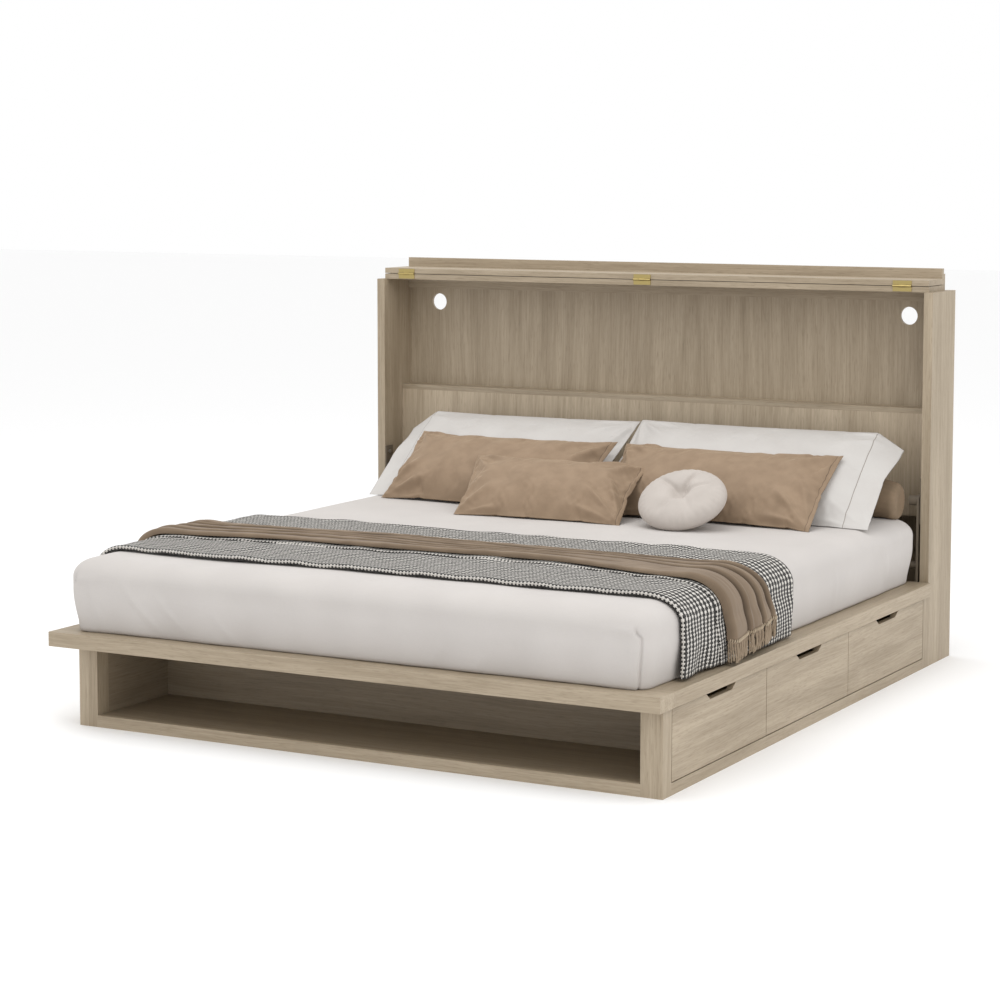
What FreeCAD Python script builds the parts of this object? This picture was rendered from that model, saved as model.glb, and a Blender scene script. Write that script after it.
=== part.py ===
"""A king-size wall bed: cabinet headboard, drawer base and a deck that folds up.

Design frame: X across the bed from the headboard's centre, Y from the headboard's
front plane towards the wall, Z up from the floor. Millimetres. Every solid is moved
by ORIGIN when it is written, so that the row's origin is the bottom centre.
"""
import FreeCAD, Part
import math
import os

Vec = FreeCAD.Vector

# Headboard cabinet
HEAD_WIDTH = 2100.0
HEAD_DEPTH = 222.0
HEAD_HEIGHT = 1225.0
SIDE_THICKNESS = 30.0
BOARD = 18.0
BACK_THICKNESS = 12.0
BACK_FRONT = 191.0
HOOD_HEIGHT = 110.0
HOOD_ABOVE_SIDES = 72.0
LEDGE_TOP = 836.0
LEDGE_FRONT = 125.0
APRON_BOTTOM = 477.0
STRETCHER_HEIGHT = 100.0
CABLE_HOLE_RADIUS = 30.0
CABLE_HOLE_X = 901.0
CABLE_HOLE_Z = 1137.0

# Folding top
LEAF_THICKNESS = 18.5
LEAF_GAP = 2.0
LEAF_INSET = 21.5
LEAF_FRONT = 20.0
HINGE_SETBACK = 4.0
HINGE_LENGTH = 64.0
HINGE_PLATE = 2.0
HINGE_KNUCKLE_RADIUS = 3.6
HINGE_PIN_RADIUS = 1.8
HINGE_X = (-938.0, 0.0, 938.0)
KNUCKLE_SHARE = 0.34
KNUCKLE_SLACK = 0.01
SCREW_STEP = 0.34
SCREW_HEAD_RADIUS = 2.6
SCREW_RADIUS = 1.2
SCREW_LENGTH = 14.0
FELT_RADIUS = 6.0
FELT_SETBACK = 20.0
FELT_SHARES = (-0.96, -0.5, 0.5, 0.96)

# Deck and rim
RIM_TOP = 278.0
RIM_THICKNESS = 43.0
RIM_WIDTH = 100.0
FOOT_Y = -2080.0
RIM_LEFT = -918.0
RIM_RIGHT_OVERHANG = 11.0
SLAT_COUNT = 14
SLAT_WIDTH = 84.0
SLAT_THICKNESS = 18.0
LEDGER = 24.0
DECK_GAP = 3.0
PAD_RADIUS = 8.0
FIT = 0.3

# Base
LEFT_OVERHANG = 79.0
FRONT_OVERHANG = 42.0
POST_WIDTH = 65.0
POST_DEPTH = 53.0
REAR_POST_DEPTH = 45.0
SHELF_TOP = 35.0
SHELF_DEPTH = 350.0
DRAWER_RAIL = 33.0
DRAWER_SPLITS = (-1350.0, -715.0)

# Drawers
DRAWER_REVEAL = 3.0
DRAWER_LENGTH = 450.0
DRAWER_WALL = 12.0
DRAWER_FLOOR = 8.0
DRAWER_BOX_BOTTOM = 52.0
DRAWER_BOX_TOP = 196.0
RUNNER_SPACE = 13.0
RUNNER_THICKNESS = 6.0
RUNNER_HEIGHT = 38.0
RUNNER_MARGIN = 4.0
GRIP_TOP = 196.0
GRIP_BOTTOM = 146.0
GRIP_DEPTH = 17.0

# Pivots
PIVOT_SETBACK = 25.0
BEDDING_CLEAR = 9.0
PIVOT_PIN_RADIUS = 8.0
PIN_CLEARANCE = 0.05
BRACKET_THICKNESS = 4.0
BRACKET_WIDTH = 46.0
BRACKET_HEIGHT = 150.0
BOLT_STEP = 0.36
BOLT_HEAD_RADIUS = 7.0
BOLT_HEAD_HEIGHT = 3.0
ARM_THICKNESS = 8.0
ARM_SIDE_GAP = 4.0
ARM_WIDTH = 40.0
SPRING_RADIUS = 17.0
SPRING_LENGTH = 30.0
TORQUE_BAR_RADIUS = 12.0
TORQUE_BAR_Z = 330.0

# Bedding
MATTRESS_HEIGHT = 217.0
MATTRESS_SIDE_INSET = 33.0
MATTRESS_INNER_GAP = 4.0
MATTRESS_FOOT_INSET = 34.0
MATTRESS_HEAD = -3.0
COVER = 6.0
TOP_RADIUS = 44.0
CORNER_RADIUS = 70.0
BOTTOM_RADIUS = 18.0
BLANKET = 6.0
BLANKET_FROM_FOOT = (166.0, 926.0)
THROW = 9.0
THROW_FROM_FOOT = (406.0, 756.0)
HEM_CLEAR = 4.0

# Pillows: X spans and places from the mattress's middle, outlines from its top and head
BOLSTER_RADIUS = 60.0
BOLSTER_SPAN = (-995.0, 897.0)
SHAM_SPANS = ((-990.0, -69.0), (-61.0, 900.0))
VELVET_SPANS = ((-850.0, -69.0), (-35.0, 773.0))
LUMBAR_SPAN = (-465.0, 171.0)
SHAM_OUTLINE = ((-389, 0), (-212, 150), (8, 271), (51, 243), (3, 157), (-137, 105), (-247, 0))
VELVET_OUTLINE = ((-472, 0), (-349, 143), (-177, 217), (-152, 193), (-216, 155), (-393, 0))
LUMBAR_OUTLINE = ((-697, 0), (-609, 95), (-427, 159), (-389, 133), (-481, 0))
ROUND_RADIUS = 145.0
ROUND_THICKNESS = 76.0
ROUND_LEAN = 34.0
ROUND_PLACE = (375.0, -587.0)

# Derived places
HALF = HEAD_WIDTH / 2
INNER = HALF - SIDE_THICKNESS
BASE_RIGHT = HALF
BASE_LEFT = RIM_LEFT + LEFT_OVERHANG
BASE_FRONT = FOOT_Y + FRONT_OVERHANG
RIM_RIGHT = HALF + RIM_RIGHT_OVERHANG
MATTRESS_LEFT = RIM_LEFT + MATTRESS_SIDE_INSET
MATTRESS_RIGHT = INNER - MATTRESS_INNER_GAP
MATTRESS_MIDDLE = (MATTRESS_LEFT + MATTRESS_RIGHT) / 2
MATTRESS_FOOT = FOOT_Y + MATTRESS_FOOT_INSET
MATTRESS_TOP = RIM_TOP + MATTRESS_HEIGHT
PILLOW_REST = MATTRESS_TOP + FIT
RIM_UNDER = RIM_TOP - RIM_THICKNESS
BASE_TOP = RIM_UNDER - DECK_GAP
BAY_BACK = BASE_FRONT + SHELF_DEPTH
PIVOT_Y = PIVOT_SETBACK
PIVOT_Z = MATTRESS_TOP + BLANKET + THROW + BEDDING_CLEAR + PIVOT_SETBACK
HINGE_Y = LEAF_FRONT - HINGE_SETBACK
HINGE_Z = HEAD_HEIGHT + LEAF_THICKNESS + LEAF_GAP / 2
ORIGIN = Vec(-RIM_RIGHT_OVERHANG / 2, (-FOOT_Y - HEAD_DEPTH) / 2, 0)


def box(x0, x1, y0, y1, z0, z1):
    """A box between two corners."""
    return Part.makeBox(x1 - x0, y1 - y0, z1 - z0, Vec(x0, y0, z0))


def rod_x(x0, x1, y, z, radius):
    """A round bar along X."""
    return Part.makeCylinder(radius, x1 - x0, Vec(x0, y, z), Vec(1, 0, 0))


def rod_y(x, y0, y1, z, radius):
    """A round bar along Y."""
    return Part.makeCylinder(radius, y1 - y0, Vec(x, y0, z), Vec(0, 1, 0))


def prism_x(x0, x1, outline):
    """A (y, z) outline pushed along X."""
    points = [Vec(x0, y, z) for y, z in outline]
    face = Part.Face(Part.makePolygon(points + points[:1]))
    return face.extrude(Vec(x1 - x0, 0, 0))


def save(name, *solids):
    """Write one node, moved from the design frame into the row's frame."""
    shape = solids[0] if len(solids) == 1 else Part.makeCompound(list(solids))
    shape = shape.copy()
    shape.translate(ORIGIN)
    shape.exportStep(f"parts/{name}.step")


def edges_where(shape, test):
    """The edges whose bounding box passes the test."""
    return [edge for edge in shape.Edges if test(edge.BoundBox)]


def soft_block(grow):
    """The rounded block of the dressed mattress, grown outwards on its sides and top."""
    block = box(
        MATTRESS_LEFT - grow,
        MATTRESS_RIGHT + grow,
        MATTRESS_FOOT - grow,
        MATTRESS_HEAD,
        RIM_TOP,
        MATTRESS_TOP + grow,
    )
    corners = edges_where(block, lambda b: b.ZLength > 1)
    block = block.makeFillet(CORNER_RADIUS + grow, corners)
    lid = edges_where(block, lambda b: b.ZLength < 0.1 and b.ZMin > RIM_TOP + 1)
    block = block.makeFillet(TOP_RADIUS + grow, lid)
    hem = edges_where(block, lambda b: b.ZLength < 0.1 and b.ZMax < RIM_TOP + 0.1)
    return block.makeFillet(BOTTOM_RADIUS - grow, hem)


def headboard():
    """The fixed cabinet at the wall."""
    for side, name in ((-1, "headboard_side_left"), (1, "headboard_side_right")):
        x0, x1 = sorted((side * INNER, side * HALF))
        save(name, box(x0, x1, 0, HEAD_DEPTH, 0, HEAD_HEIGHT))
    hood_top = HEAD_HEIGHT + HOOD_ABOVE_SIDES
    back_rear = BACK_FRONT + BACK_THICKNESS
    back = box(-INNER, INNER, BACK_FRONT, back_rear, 0, hood_top - BOARD)
    for side in (-1, 1):
        x = side * CABLE_HOLE_X
        back = back.cut(rod_y(x, BACK_FRONT - 1, back_rear + 1, CABLE_HOLE_Z, CABLE_HOLE_RADIUS))
    save("headboard_back_panel", back)
    hood = box(-INNER, INNER, BACK_FRONT - BOARD, BACK_FRONT, hood_top - HOOD_HEIGHT, hood_top)
    save("headboard_top_board", hood)
    save("headboard_ledge", box(-INNER, INNER, LEDGE_FRONT, BACK_FRONT, LEDGE_TOP - BOARD, LEDGE_TOP))
    apron_top = LEDGE_TOP - BOARD
    apron = box(-INNER, INNER, LEDGE_FRONT, LEDGE_FRONT + BOARD, APRON_BOTTOM, apron_top)
    save("headboard_front_panel", apron)
    stretcher = box(-INNER, INNER, BACK_FRONT - BOARD, BACK_FRONT, 0, STRETCHER_HEIGHT)
    save("headboard_stretcher", stretcher)
    cleats = []
    for side in (-1, 1):
        x0, x1 = sorted((side * INNER, side * (INNER - BOARD)))
        cleats.append(box(x0, x1, LEDGE_FRONT + BOARD, BACK_FRONT, APRON_BOTTOM, apron_top))
    save("headboard_panel_cleats", *cleats)


def hinge_screws(x, z):
    """Two countersunk screws through one hinge plate into the board behind it."""
    screws = []
    for step in (-SCREW_STEP, SCREW_STEP):
        place = x + step * HINGE_LENGTH
        seat = Vec(place, LEAF_FRONT - HINGE_PLATE, z)
        head = Part.makeCone(SCREW_HEAD_RADIUS, SCREW_RADIUS, HINGE_PLATE, seat, Vec(0, 1, 0))
        shank = rod_y(place, LEAF_FRONT, LEAF_FRONT + SCREW_LENGTH, z, SCREW_RADIUS)
        screws.append(head.fuse(shank).removeSplitter())
    return screws


def hinge_half(x, spans, upward):
    """One brass hinge leaf: its plate, and the knuckles over the given shares of its length."""
    sign = 1 if upward else -1
    near = HINGE_Z + sign * (HINGE_KNUCKLE_RADIUS + 0.9)
    far = HINGE_Z + sign * (LEAF_GAP / 2 + LEAF_THICKNESS - 2)
    half = HINGE_LENGTH / 2
    low, high = sorted((near, far))
    shape = box(x - half, x + half, LEAF_FRONT - HINGE_PLATE, LEAF_FRONT, low, high)
    for start, end in spans:
        x0 = x + start * half
        x1 = x + end * half
        shape = shape.fuse(rod_x(x0, x1, HINGE_Y, HINGE_Z, HINGE_KNUCKLE_RADIUS))
        low, high = sorted((HINGE_Z, near))
        shape = shape.fuse(box(x0, x1, LEAF_FRONT - HINGE_PLATE, LEAF_FRONT, low, high))
    bore = rod_x(x - half - 1, x + half + 1, HINGE_Y, HINGE_Z, HINGE_PIN_RADIUS + PIN_CLEARANCE)
    return shape.cut(bore).removeSplitter()


def folding_top():
    """Two leaves joined by three brass butt hinges along their front edges."""
    leaf_x = HALF - LEAF_INSET
    leaf_back = BACK_FRONT - BOARD
    low_top = HEAD_HEIGHT + LEAF_THICKNESS
    high_bottom = low_top + LEAF_GAP
    low = box(-leaf_x, leaf_x, LEAF_FRONT, leaf_back, HEAD_HEIGHT, low_top)
    high = box(-leaf_x, leaf_x, LEAF_FRONT, leaf_back - FIT, high_bottom, high_bottom + LEAF_THICKNESS)
    fixed, moving, pins, low_screws, high_screws = [], [], [], [], []
    plate_middle = HINGE_KNUCKLE_RADIUS / 2 + LEAF_THICKNESS / 2
    inner = KNUCKLE_SHARE - KNUCKLE_SLACK
    for x in HINGE_X:
        fixed.append(hinge_half(x, ((-1, -KNUCKLE_SHARE), (KNUCKLE_SHARE, 1)), False))
        moving.append(hinge_half(x, ((-inner, inner),), True))
        half = HINGE_LENGTH / 2
        pins.append(rod_x(x - half, x + half, HINGE_Y, HINGE_Z, HINGE_PIN_RADIUS))
        low_screws += hinge_screws(x, HINGE_Z - plate_middle)
        high_screws += hinge_screws(x, HINGE_Z + plate_middle)
    for screw in low_screws:
        low = low.cut(screw)
        fixed = [leaf.cut(screw) for leaf in fixed]
    for screw in high_screws:
        high = high.cut(screw)
        moving = [leaf.cut(screw) for leaf in moving]
    save("top_leaf_fixed", low)
    save("top_leaf_folding", high)
    save("top_hinge_leaves_fixed", *fixed)
    save("top_hinge_leaves_folding", *moving)
    save("top_hinge_pins", *pins)
    save("top_hinge_screws_fixed", *low_screws)
    save("top_hinge_screws_folding", *high_screws)
    pads = []
    for share in FELT_SHARES:
        place = Vec(share * leaf_x, leaf_back - FELT_SETBACK, low_top)
        pads.append(Part.makeCylinder(FELT_RADIUS, LEAF_GAP - FIT, place))
    save("top_felt_pads", *pads)


def base():
    """The fixed base: foot shelf, drawer bays and deck supports."""
    inner_left = BASE_LEFT + POST_WIDTH
    inner_right = BASE_RIGHT - POST_WIDTH
    post_back = BASE_FRONT + POST_DEPTH
    rear = -REAR_POST_DEPTH
    post_left = box(BASE_LEFT, inner_left, BASE_FRONT, post_back, 0, BASE_TOP)
    post_right = box(inner_right, BASE_RIGHT, BASE_FRONT, post_back, 0, BASE_TOP)
    save("foot_posts", post_left, post_right)
    save("head_post_right", box(inner_right, BASE_RIGHT, rear, 0, 0, BASE_TOP))
    save("base_side_left", box(BASE_LEFT, BASE_LEFT + BOARD, post_back, 0, 0, BASE_TOP))
    save("base_back_panel", box(BASE_LEFT + BOARD, inner_right, rear, rear + BOARD, 0, BASE_TOP))
    save("shelf_front_rail", box(inner_left, inner_right, BASE_FRONT, BASE_FRONT + BOARD, 0, SHELF_TOP))
    floor = box(inner_left, inner_right, BASE_FRONT + BOARD, BAY_BACK, SHELF_TOP - BOARD, SHELF_TOP)
    save("shelf_floor", floor)
    bay_low = inner_left - BOARD
    bay_high = inner_right + BOARD
    save("shelf_back_panel", box(bay_low, bay_high, BAY_BACK, BAY_BACK + BOARD, 0, BASE_TOP))
    liner_left = box(inner_left - BOARD, inner_left, post_back, BAY_BACK, 0, BASE_TOP)
    liner_right = box(inner_right, inner_right + BOARD, post_back, BAY_BACK, 0, BASE_TOP)
    save("shelf_liners", liner_left, liner_right)
    face = BASE_RIGHT - BOARD
    save("drawer_bottom_rail", box(face, BASE_RIGHT, post_back, rear, 0, DRAWER_RAIL))
    partition = face - DRAWER_LENGTH - BOARD
    bay_start = BAY_BACK + BOARD
    bay_walls = [box(partition - BOARD, partition, bay_start, rear, 0, BASE_TOP)]
    for split in DRAWER_SPLITS:
        bay_walls.append(box(partition, face, split - BOARD / 2, split + BOARD / 2, 0, BASE_TOP))
    save("drawer_bay_walls", *bay_walls)
    beam_x = (BASE_LEFT + partition) / 2
    save("deck_centre_support", box(beam_x - BOARD, beam_x, bay_start, rear, 0, BASE_TOP))
    half_board = BOARD / 2
    stations = [
        (BASE_LEFT + half_board, BASE_FRONT + POST_DEPTH / 2),
        (BASE_LEFT + half_board, (BAY_BACK + rear) / 2),
        (BASE_LEFT + half_board, rear - half_board),
        (beam_x - half_board, bay_start + half_board),
        (beam_x - half_board, rear - half_board),
        (inner_right + half_board, BASE_FRONT + POST_DEPTH / 2),
        (inner_right + half_board, rear / 2),
    ]
    pads = []
    for x, y in stations:
        pads.append(Part.makeCylinder(PAD_RADIUS, DECK_GAP - FIT, Vec(x, y, BASE_TOP)))
    save("deck_rubber_pads", *pads)


def drawer_bays():
    """For each drawer: its front's Y span and its bay's Y span between the walls."""
    rear = -REAR_POST_DEPTH
    post_back = BASE_FRONT + POST_DEPTH
    marks = (post_back,) + DRAWER_SPLITS + (rear,)
    walls = (
        (BAY_BACK + BOARD, DRAWER_SPLITS[0] - BOARD / 2),
        (DRAWER_SPLITS[0] + BOARD / 2, DRAWER_SPLITS[1] - BOARD / 2),
        (DRAWER_SPLITS[1] + BOARD / 2, rear),
    )
    fronts = []
    for index in range(3):
        low = marks[index] + (DRAWER_REVEAL if index == 0 else DRAWER_REVEAL / 2)
        high = marks[index + 1] - (DRAWER_REVEAL if index == 2 else DRAWER_REVEAL / 2)
        fronts.append((low, high))
    return list(zip(fronts, walls))


def drawer_front(span):
    """A front with the finger cut-out in the middle of its top edge."""
    low, high = span
    top = BASE_TOP - DRAWER_REVEAL
    middle = (low + high) / 2
    outline = [
        (low, DRAWER_RAIL + DRAWER_REVEAL),
        (high, DRAWER_RAIL + DRAWER_REVEAL),
        (high, top),
        (middle + GRIP_TOP / 2, top),
        (middle + GRIP_BOTTOM / 2, top - GRIP_DEPTH),
        (middle - GRIP_BOTTOM / 2, top - GRIP_DEPTH),
        (middle - GRIP_TOP / 2, top),
        (low, top),
    ]
    return prism_x(BASE_RIGHT - BOARD, BASE_RIGHT, outline)


def drawer(number, front, bay):
    """One drawer: front, box and its pair of runners; returns the fixed runners beside it."""
    face = BASE_RIGHT - BOARD
    back = face - DRAWER_LENGTH
    low = bay[0] + RUNNER_SPACE
    high = bay[1] - RUNNER_SPACE
    name = f"drawer_{number}"
    save(f"{name}_front", drawer_front(front))
    inside = (low + DRAWER_WALL, high - DRAWER_WALL)
    floor_top = DRAWER_BOX_BOTTOM + DRAWER_FLOOR
    boards = [box(back, back + DRAWER_WALL, *inside, DRAWER_BOX_BOTTOM, DRAWER_BOX_TOP)]
    for y in (low, inside[1]):
        boards.append(box(back, face, y, y + DRAWER_WALL, DRAWER_BOX_BOTTOM, DRAWER_BOX_TOP))
    boards.append(box(back + DRAWER_WALL, face, *inside, DRAWER_BOX_BOTTOM, floor_top))
    save(f"{name}_box", *boards)
    middle = (DRAWER_BOX_BOTTOM + DRAWER_BOX_TOP) / 2
    z0 = middle - RUNNER_HEIGHT / 2
    z1 = middle + RUNNER_HEIGHT / 2
    runner_end = face - RUNNER_MARGIN
    inner = []
    outer = []
    for wall, sign in ((bay[0], 1), (bay[1], -1)):
        edge = wall + sign * RUNNER_SPACE
        y0, y1 = sorted((edge, edge - sign * RUNNER_THICKNESS))
        inner.append(box(back, runner_end, y0, y1, z0 + RUNNER_MARGIN, z1 - RUNNER_MARGIN))
        y0, y1 = sorted((wall, wall + sign * RUNNER_THICKNESS))
        outer.append(box(back, runner_end, y0, y1, z0, z1))
    save(f"{name}_runners", *inner)
    return outer


def drawers():
    """Three drawers, and the fixed runners screwed to their bays."""
    fixed = []
    for number, (front, bay) in enumerate(drawer_bays(), 1):
        fixed += drawer(number, front, bay)
    save("drawer_runners_fixed", *fixed)


def deck():
    """The folding deck: a rim, its ledgers, the slats and the bedding on them."""
    rim_head = MATTRESS_HEAD + 1
    side_low = FOOT_Y + RIM_WIDTH
    save("rim_front", box(RIM_LEFT, RIM_RIGHT, FOOT_Y, side_low, RIM_UNDER, RIM_TOP))
    left = RIM_LEFT + RIM_WIDTH
    right = RIM_RIGHT - RIM_WIDTH
    rim_left = box(RIM_LEFT, left, side_low, rim_head, RIM_UNDER, RIM_TOP)
    rim_right = box(right, RIM_RIGHT, side_low, rim_head, RIM_UNDER, RIM_TOP)
    save("rim_sides", rim_left, rim_right)
    head_low = rim_head - RIM_WIDTH
    save("rim_head", box(left, right, head_low, rim_head, RIM_UNDER, RIM_TOP))
    slat_under = RIM_TOP - SLAT_THICKNESS
    middle = (left + right) / 2
    ledgers = [
        box(left, left + LEDGER, side_low, head_low, RIM_UNDER, slat_under),
        box(right - LEDGER, right, side_low, head_low, RIM_UNDER, slat_under),
        box(middle - LEDGER, middle + LEDGER, side_low, head_low, RIM_UNDER, slat_under),
    ]
    save("slat_ledgers", *ledgers)
    pitch = (head_low - side_low) / SLAT_COUNT
    slats = []
    for index in range(SLAT_COUNT):
        y = side_low + (index + 0.5) * pitch
        slats.append(box(left, right, y - SLAT_WIDTH / 2, y + SLAT_WIDTH / 2, slat_under, RIM_TOP))
    save("slats", *slats)


def bedding():
    """Mattress, fitted cover, blanket and throw."""
    dressed = soft_block(0)
    core = soft_block(-COVER)
    save("mattress", core)
    save("mattress_cover", dressed.cut(core))
    with_blanket = soft_block(BLANKET)
    with_throw = soft_block(BLANKET + THROW)
    reach = HEAD_WIDTH
    hem = RIM_TOP + HEM_CLEAR
    low, high = (MATTRESS_FOOT + y for y in BLANKET_FROM_FOOT)
    strip = box(-reach, reach, low, high, hem, HEAD_HEIGHT)
    save("check_blanket", with_blanket.common(strip).cut(dressed))
    low, high = (MATTRESS_FOOT + y for y in THROW_FROM_FOOT)
    strip = box(MATTRESS_LEFT, reach, low, high, hem + 2 * HEM_CLEAR, HEAD_HEIGHT)
    save("fringed_throw", with_throw.common(strip).cut(with_blanket))


def leaning(name, span, outline):
    """A leaning pillow, from its (y, z) outline."""
    x0, x1 = (MATTRESS_MIDDLE + x for x in span)
    placed = [(MATTRESS_HEAD + y, PILLOW_REST + z) for y, z in outline]
    save(name, prism_x(x0, x1, placed))


def pillows():
    """The bolster, two shams, two velvet pillows, a lumbar pillow and a round cushion."""
    x0, x1 = (MATTRESS_MIDDLE + x for x in BOLSTER_SPAN)
    bolster_y = MATTRESS_HEAD - BOLSTER_RADIUS - 3
    save("bolster", rod_x(x0, x1, bolster_y, PILLOW_REST + BOLSTER_RADIUS, BOLSTER_RADIUS))
    for side, span in zip(("left", "right"), SHAM_SPANS):
        leaning(f"sham_{side}", span, SHAM_OUTLINE)
    for side, span in zip(("left", "right"), VELVET_SPANS):
        leaning(f"velvet_pillow_{side}", span, VELVET_OUTLINE)
    leaning("lumbar_pillow", LUMBAR_SPAN, LUMBAR_OUTLINE)
    tilt = math.radians(ROUND_LEAN)
    edge = ROUND_THICKNESS / 2
    disc = Part.makeCylinder(ROUND_RADIUS, ROUND_THICKNESS, Vec(0, 0, -edge))
    disc = disc.makeFillet(edge - 1, edges_where(disc, lambda b: b.ZLength < 0.1))
    disc.rotate(Vec(0, 0, 0), Vec(1, 0, 0), ROUND_LEAN)
    lift = (ROUND_RADIUS - edge) * math.sin(tilt) + edge
    x, y = ROUND_PLACE
    disc.translate(Vec(MATTRESS_MIDDLE + x, MATTRESS_HEAD + y, PILLOW_REST + lift))
    save("round_cushion", disc)


def pivots():
    """Brackets and pins on the headboard, arms and a torque bar on the deck."""
    brackets, pins, springs, bolts, arms = [], [], [], [], []
    rim_head = MATTRESS_HEAD + 1
    arm_x = INNER - BRACKET_THICKNESS - ARM_SIDE_GAP
    arm_low = RIM_UNDER + 1
    bar = rod_x(-arm_x + ARM_THICKNESS, arm_x - ARM_THICKNESS, PIVOT_Y, TORQUE_BAR_Z, TORQUE_BAR_RADIUS)
    save("deck_torque_bar", bar)
    for side, rim in ((-1, RIM_LEFT), (1, RIM_RIGHT)):
        def across(a, b):
            return tuple(sorted((side * a, side * b)))
        plate = box(
            *across(INNER - BRACKET_THICKNESS, INNER),
            PIVOT_Y - BRACKET_WIDTH / 2,
            PIVOT_Y + BRACKET_WIDTH / 2,
            PIVOT_Z - BRACKET_HEIGHT / 2,
            PIVOT_Z + BRACKET_HEIGHT / 2,
        )
        brackets.append(plate)
        pin_end = arm_x - ARM_THICKNESS - SPRING_LENGTH
        pins.append(rod_x(*across(pin_end, INNER - BRACKET_THICKNESS), PIVOT_Y, PIVOT_Z, PIVOT_PIN_RADIUS))
        spring_span = across(pin_end + 1, arm_x - ARM_THICKNESS - 1)
        spring = rod_x(*spring_span, PIVOT_Y, PIVOT_Z, SPRING_RADIUS)
        springs.append(spring.cut(rod_x(*across(0, INNER), PIVOT_Y, PIVOT_Z, PIVOT_PIN_RADIUS)))
        blade = box(
            *across(arm_x - ARM_THICKNESS, arm_x),
            PIVOT_Y - ARM_WIDTH / 2,
            PIVOT_Y + ARM_WIDTH / 2,
            arm_low,
            PIVOT_Z,
        )
        eye = rod_x(*across(arm_x - ARM_THICKNESS, arm_x), PIVOT_Y, PIVOT_Z, ARM_WIDTH / 2)
        foot_end = abs(rim) - 0.7 * RIM_WIDTH
        foot = box(
            *across(foot_end, arm_x),
            rim_head,
            PIVOT_Y - ARM_WIDTH / 2,
            arm_low,
            RIM_TOP,
        )
        bore = rod_x(*across(0, INNER), PIVOT_Y, PIVOT_Z, PIVOT_PIN_RADIUS + PIN_CLEARANCE)
        arm = blade.fuse([eye, foot]).removeSplitter().cut(bore)
        arms.append(arm)
        head_x = INNER - BRACKET_THICKNESS
        for step in (-BOLT_STEP, BOLT_STEP):
            z = PIVOT_Z + step * BRACKET_HEIGHT
            bolts.append(rod_x(*across(head_x - BOLT_HEAD_HEIGHT, head_x), PIVOT_Y, z, BOLT_HEAD_RADIUS))
    save("deck_arms", *arms)
    save("pivot_brackets", *brackets)
    save("pivot_pins", *pins)
    save("pivot_spring_cartridges", *springs)
    save("pivot_bracket_bolts", *bolts)


def main():
    """Build every node."""
    os.makedirs("parts", exist_ok=True)
    headboard()
    folding_top()
    base()
    drawers()
    deck()
    bedding()
    pillows()
    pivots()


main()
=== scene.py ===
"""Looks of a king-size wall bed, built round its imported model.

The cabinet, the base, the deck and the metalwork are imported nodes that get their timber,
brass, steel, rubber and felt here. The made-up mattress, the check blanket, the fringed throw
and the pillows are new meshes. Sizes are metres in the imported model's frame: +Z up, +Y towards
the wall, +X towards the drawers.
"""

import logging
import math
from collections.abc import Sequence
from dataclasses import dataclass, field, replace
from enum import Enum

import bpy
import numpy as np
from mathutils import Euler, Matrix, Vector


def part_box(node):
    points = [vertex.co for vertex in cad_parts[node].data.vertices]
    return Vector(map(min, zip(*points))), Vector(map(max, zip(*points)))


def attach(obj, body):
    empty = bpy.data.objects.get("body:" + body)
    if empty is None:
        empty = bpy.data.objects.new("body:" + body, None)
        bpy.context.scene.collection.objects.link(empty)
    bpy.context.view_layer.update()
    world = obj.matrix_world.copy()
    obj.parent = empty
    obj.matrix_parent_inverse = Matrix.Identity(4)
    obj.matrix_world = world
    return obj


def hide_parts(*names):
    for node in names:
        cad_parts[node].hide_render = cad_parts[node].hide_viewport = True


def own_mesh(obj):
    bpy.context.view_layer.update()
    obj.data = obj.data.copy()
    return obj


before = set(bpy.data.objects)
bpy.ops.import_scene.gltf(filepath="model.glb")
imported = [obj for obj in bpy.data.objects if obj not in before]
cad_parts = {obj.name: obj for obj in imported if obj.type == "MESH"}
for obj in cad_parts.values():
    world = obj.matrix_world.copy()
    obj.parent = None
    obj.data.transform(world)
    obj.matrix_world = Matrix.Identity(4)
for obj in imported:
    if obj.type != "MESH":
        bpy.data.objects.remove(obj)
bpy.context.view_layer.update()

log = logging.getLogger("wall_bed")

MILLIMETRE = 0.001


# --------------------------------------------------------------------------------------
# Small tools for meshes
# --------------------------------------------------------------------------------------


def build_mesh(
    name: str, points: np.ndarray, faces: np.ndarray, uv: np.ndarray | None = None
) -> bpy.types.Object:
    """Make a smooth-shaded mesh object from whole arrays.

    Args:
        name: The piece's name.
        points: (n, 3) vertex places in the frame.
        faces: (m, 4) vertex numbers of quads that face outwards.
        uv: (n, 2) cloth coordinates in metres, one per vertex.

    Returns:
        The object, which sits at the origin.
    """
    mesh = bpy.data.meshes.new(name)
    mesh.vertices.add(len(points))
    mesh.vertices.foreach_set("co", points.astype(np.float32).ravel())
    mesh.loops.add(faces.size)
    mesh.loops.foreach_set("vertex_index", faces.astype(np.int32).ravel())
    mesh.polygons.add(len(faces))
    mesh.polygons.foreach_set("loop_start", np.arange(len(faces), dtype=np.int32) * faces.shape[1])
    mesh.polygons.foreach_set("use_smooth", np.ones(len(faces), dtype=bool))
    if uv is not None:
        layer = mesh.uv_layers.new(name="cloth")
        layer.data.foreach_set("uv", uv[faces.ravel()].astype(np.float32).ravel())
    mesh.update(calc_edges=True)
    mesh.validate()
    piece = bpy.data.objects.new(name, mesh)
    bpy.context.scene.collection.objects.link(piece)
    return piece


def quads(numbers: np.ndarray) -> np.ndarray:
    """The quads of a grid of vertex numbers, each from one corner down, across and back up."""
    corners = (numbers[:-1, :-1], numbers[1:, :-1], numbers[1:, 1:], numbers[:-1, 1:])
    return np.stack(corners, axis=-1).reshape(-1, 4)


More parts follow.
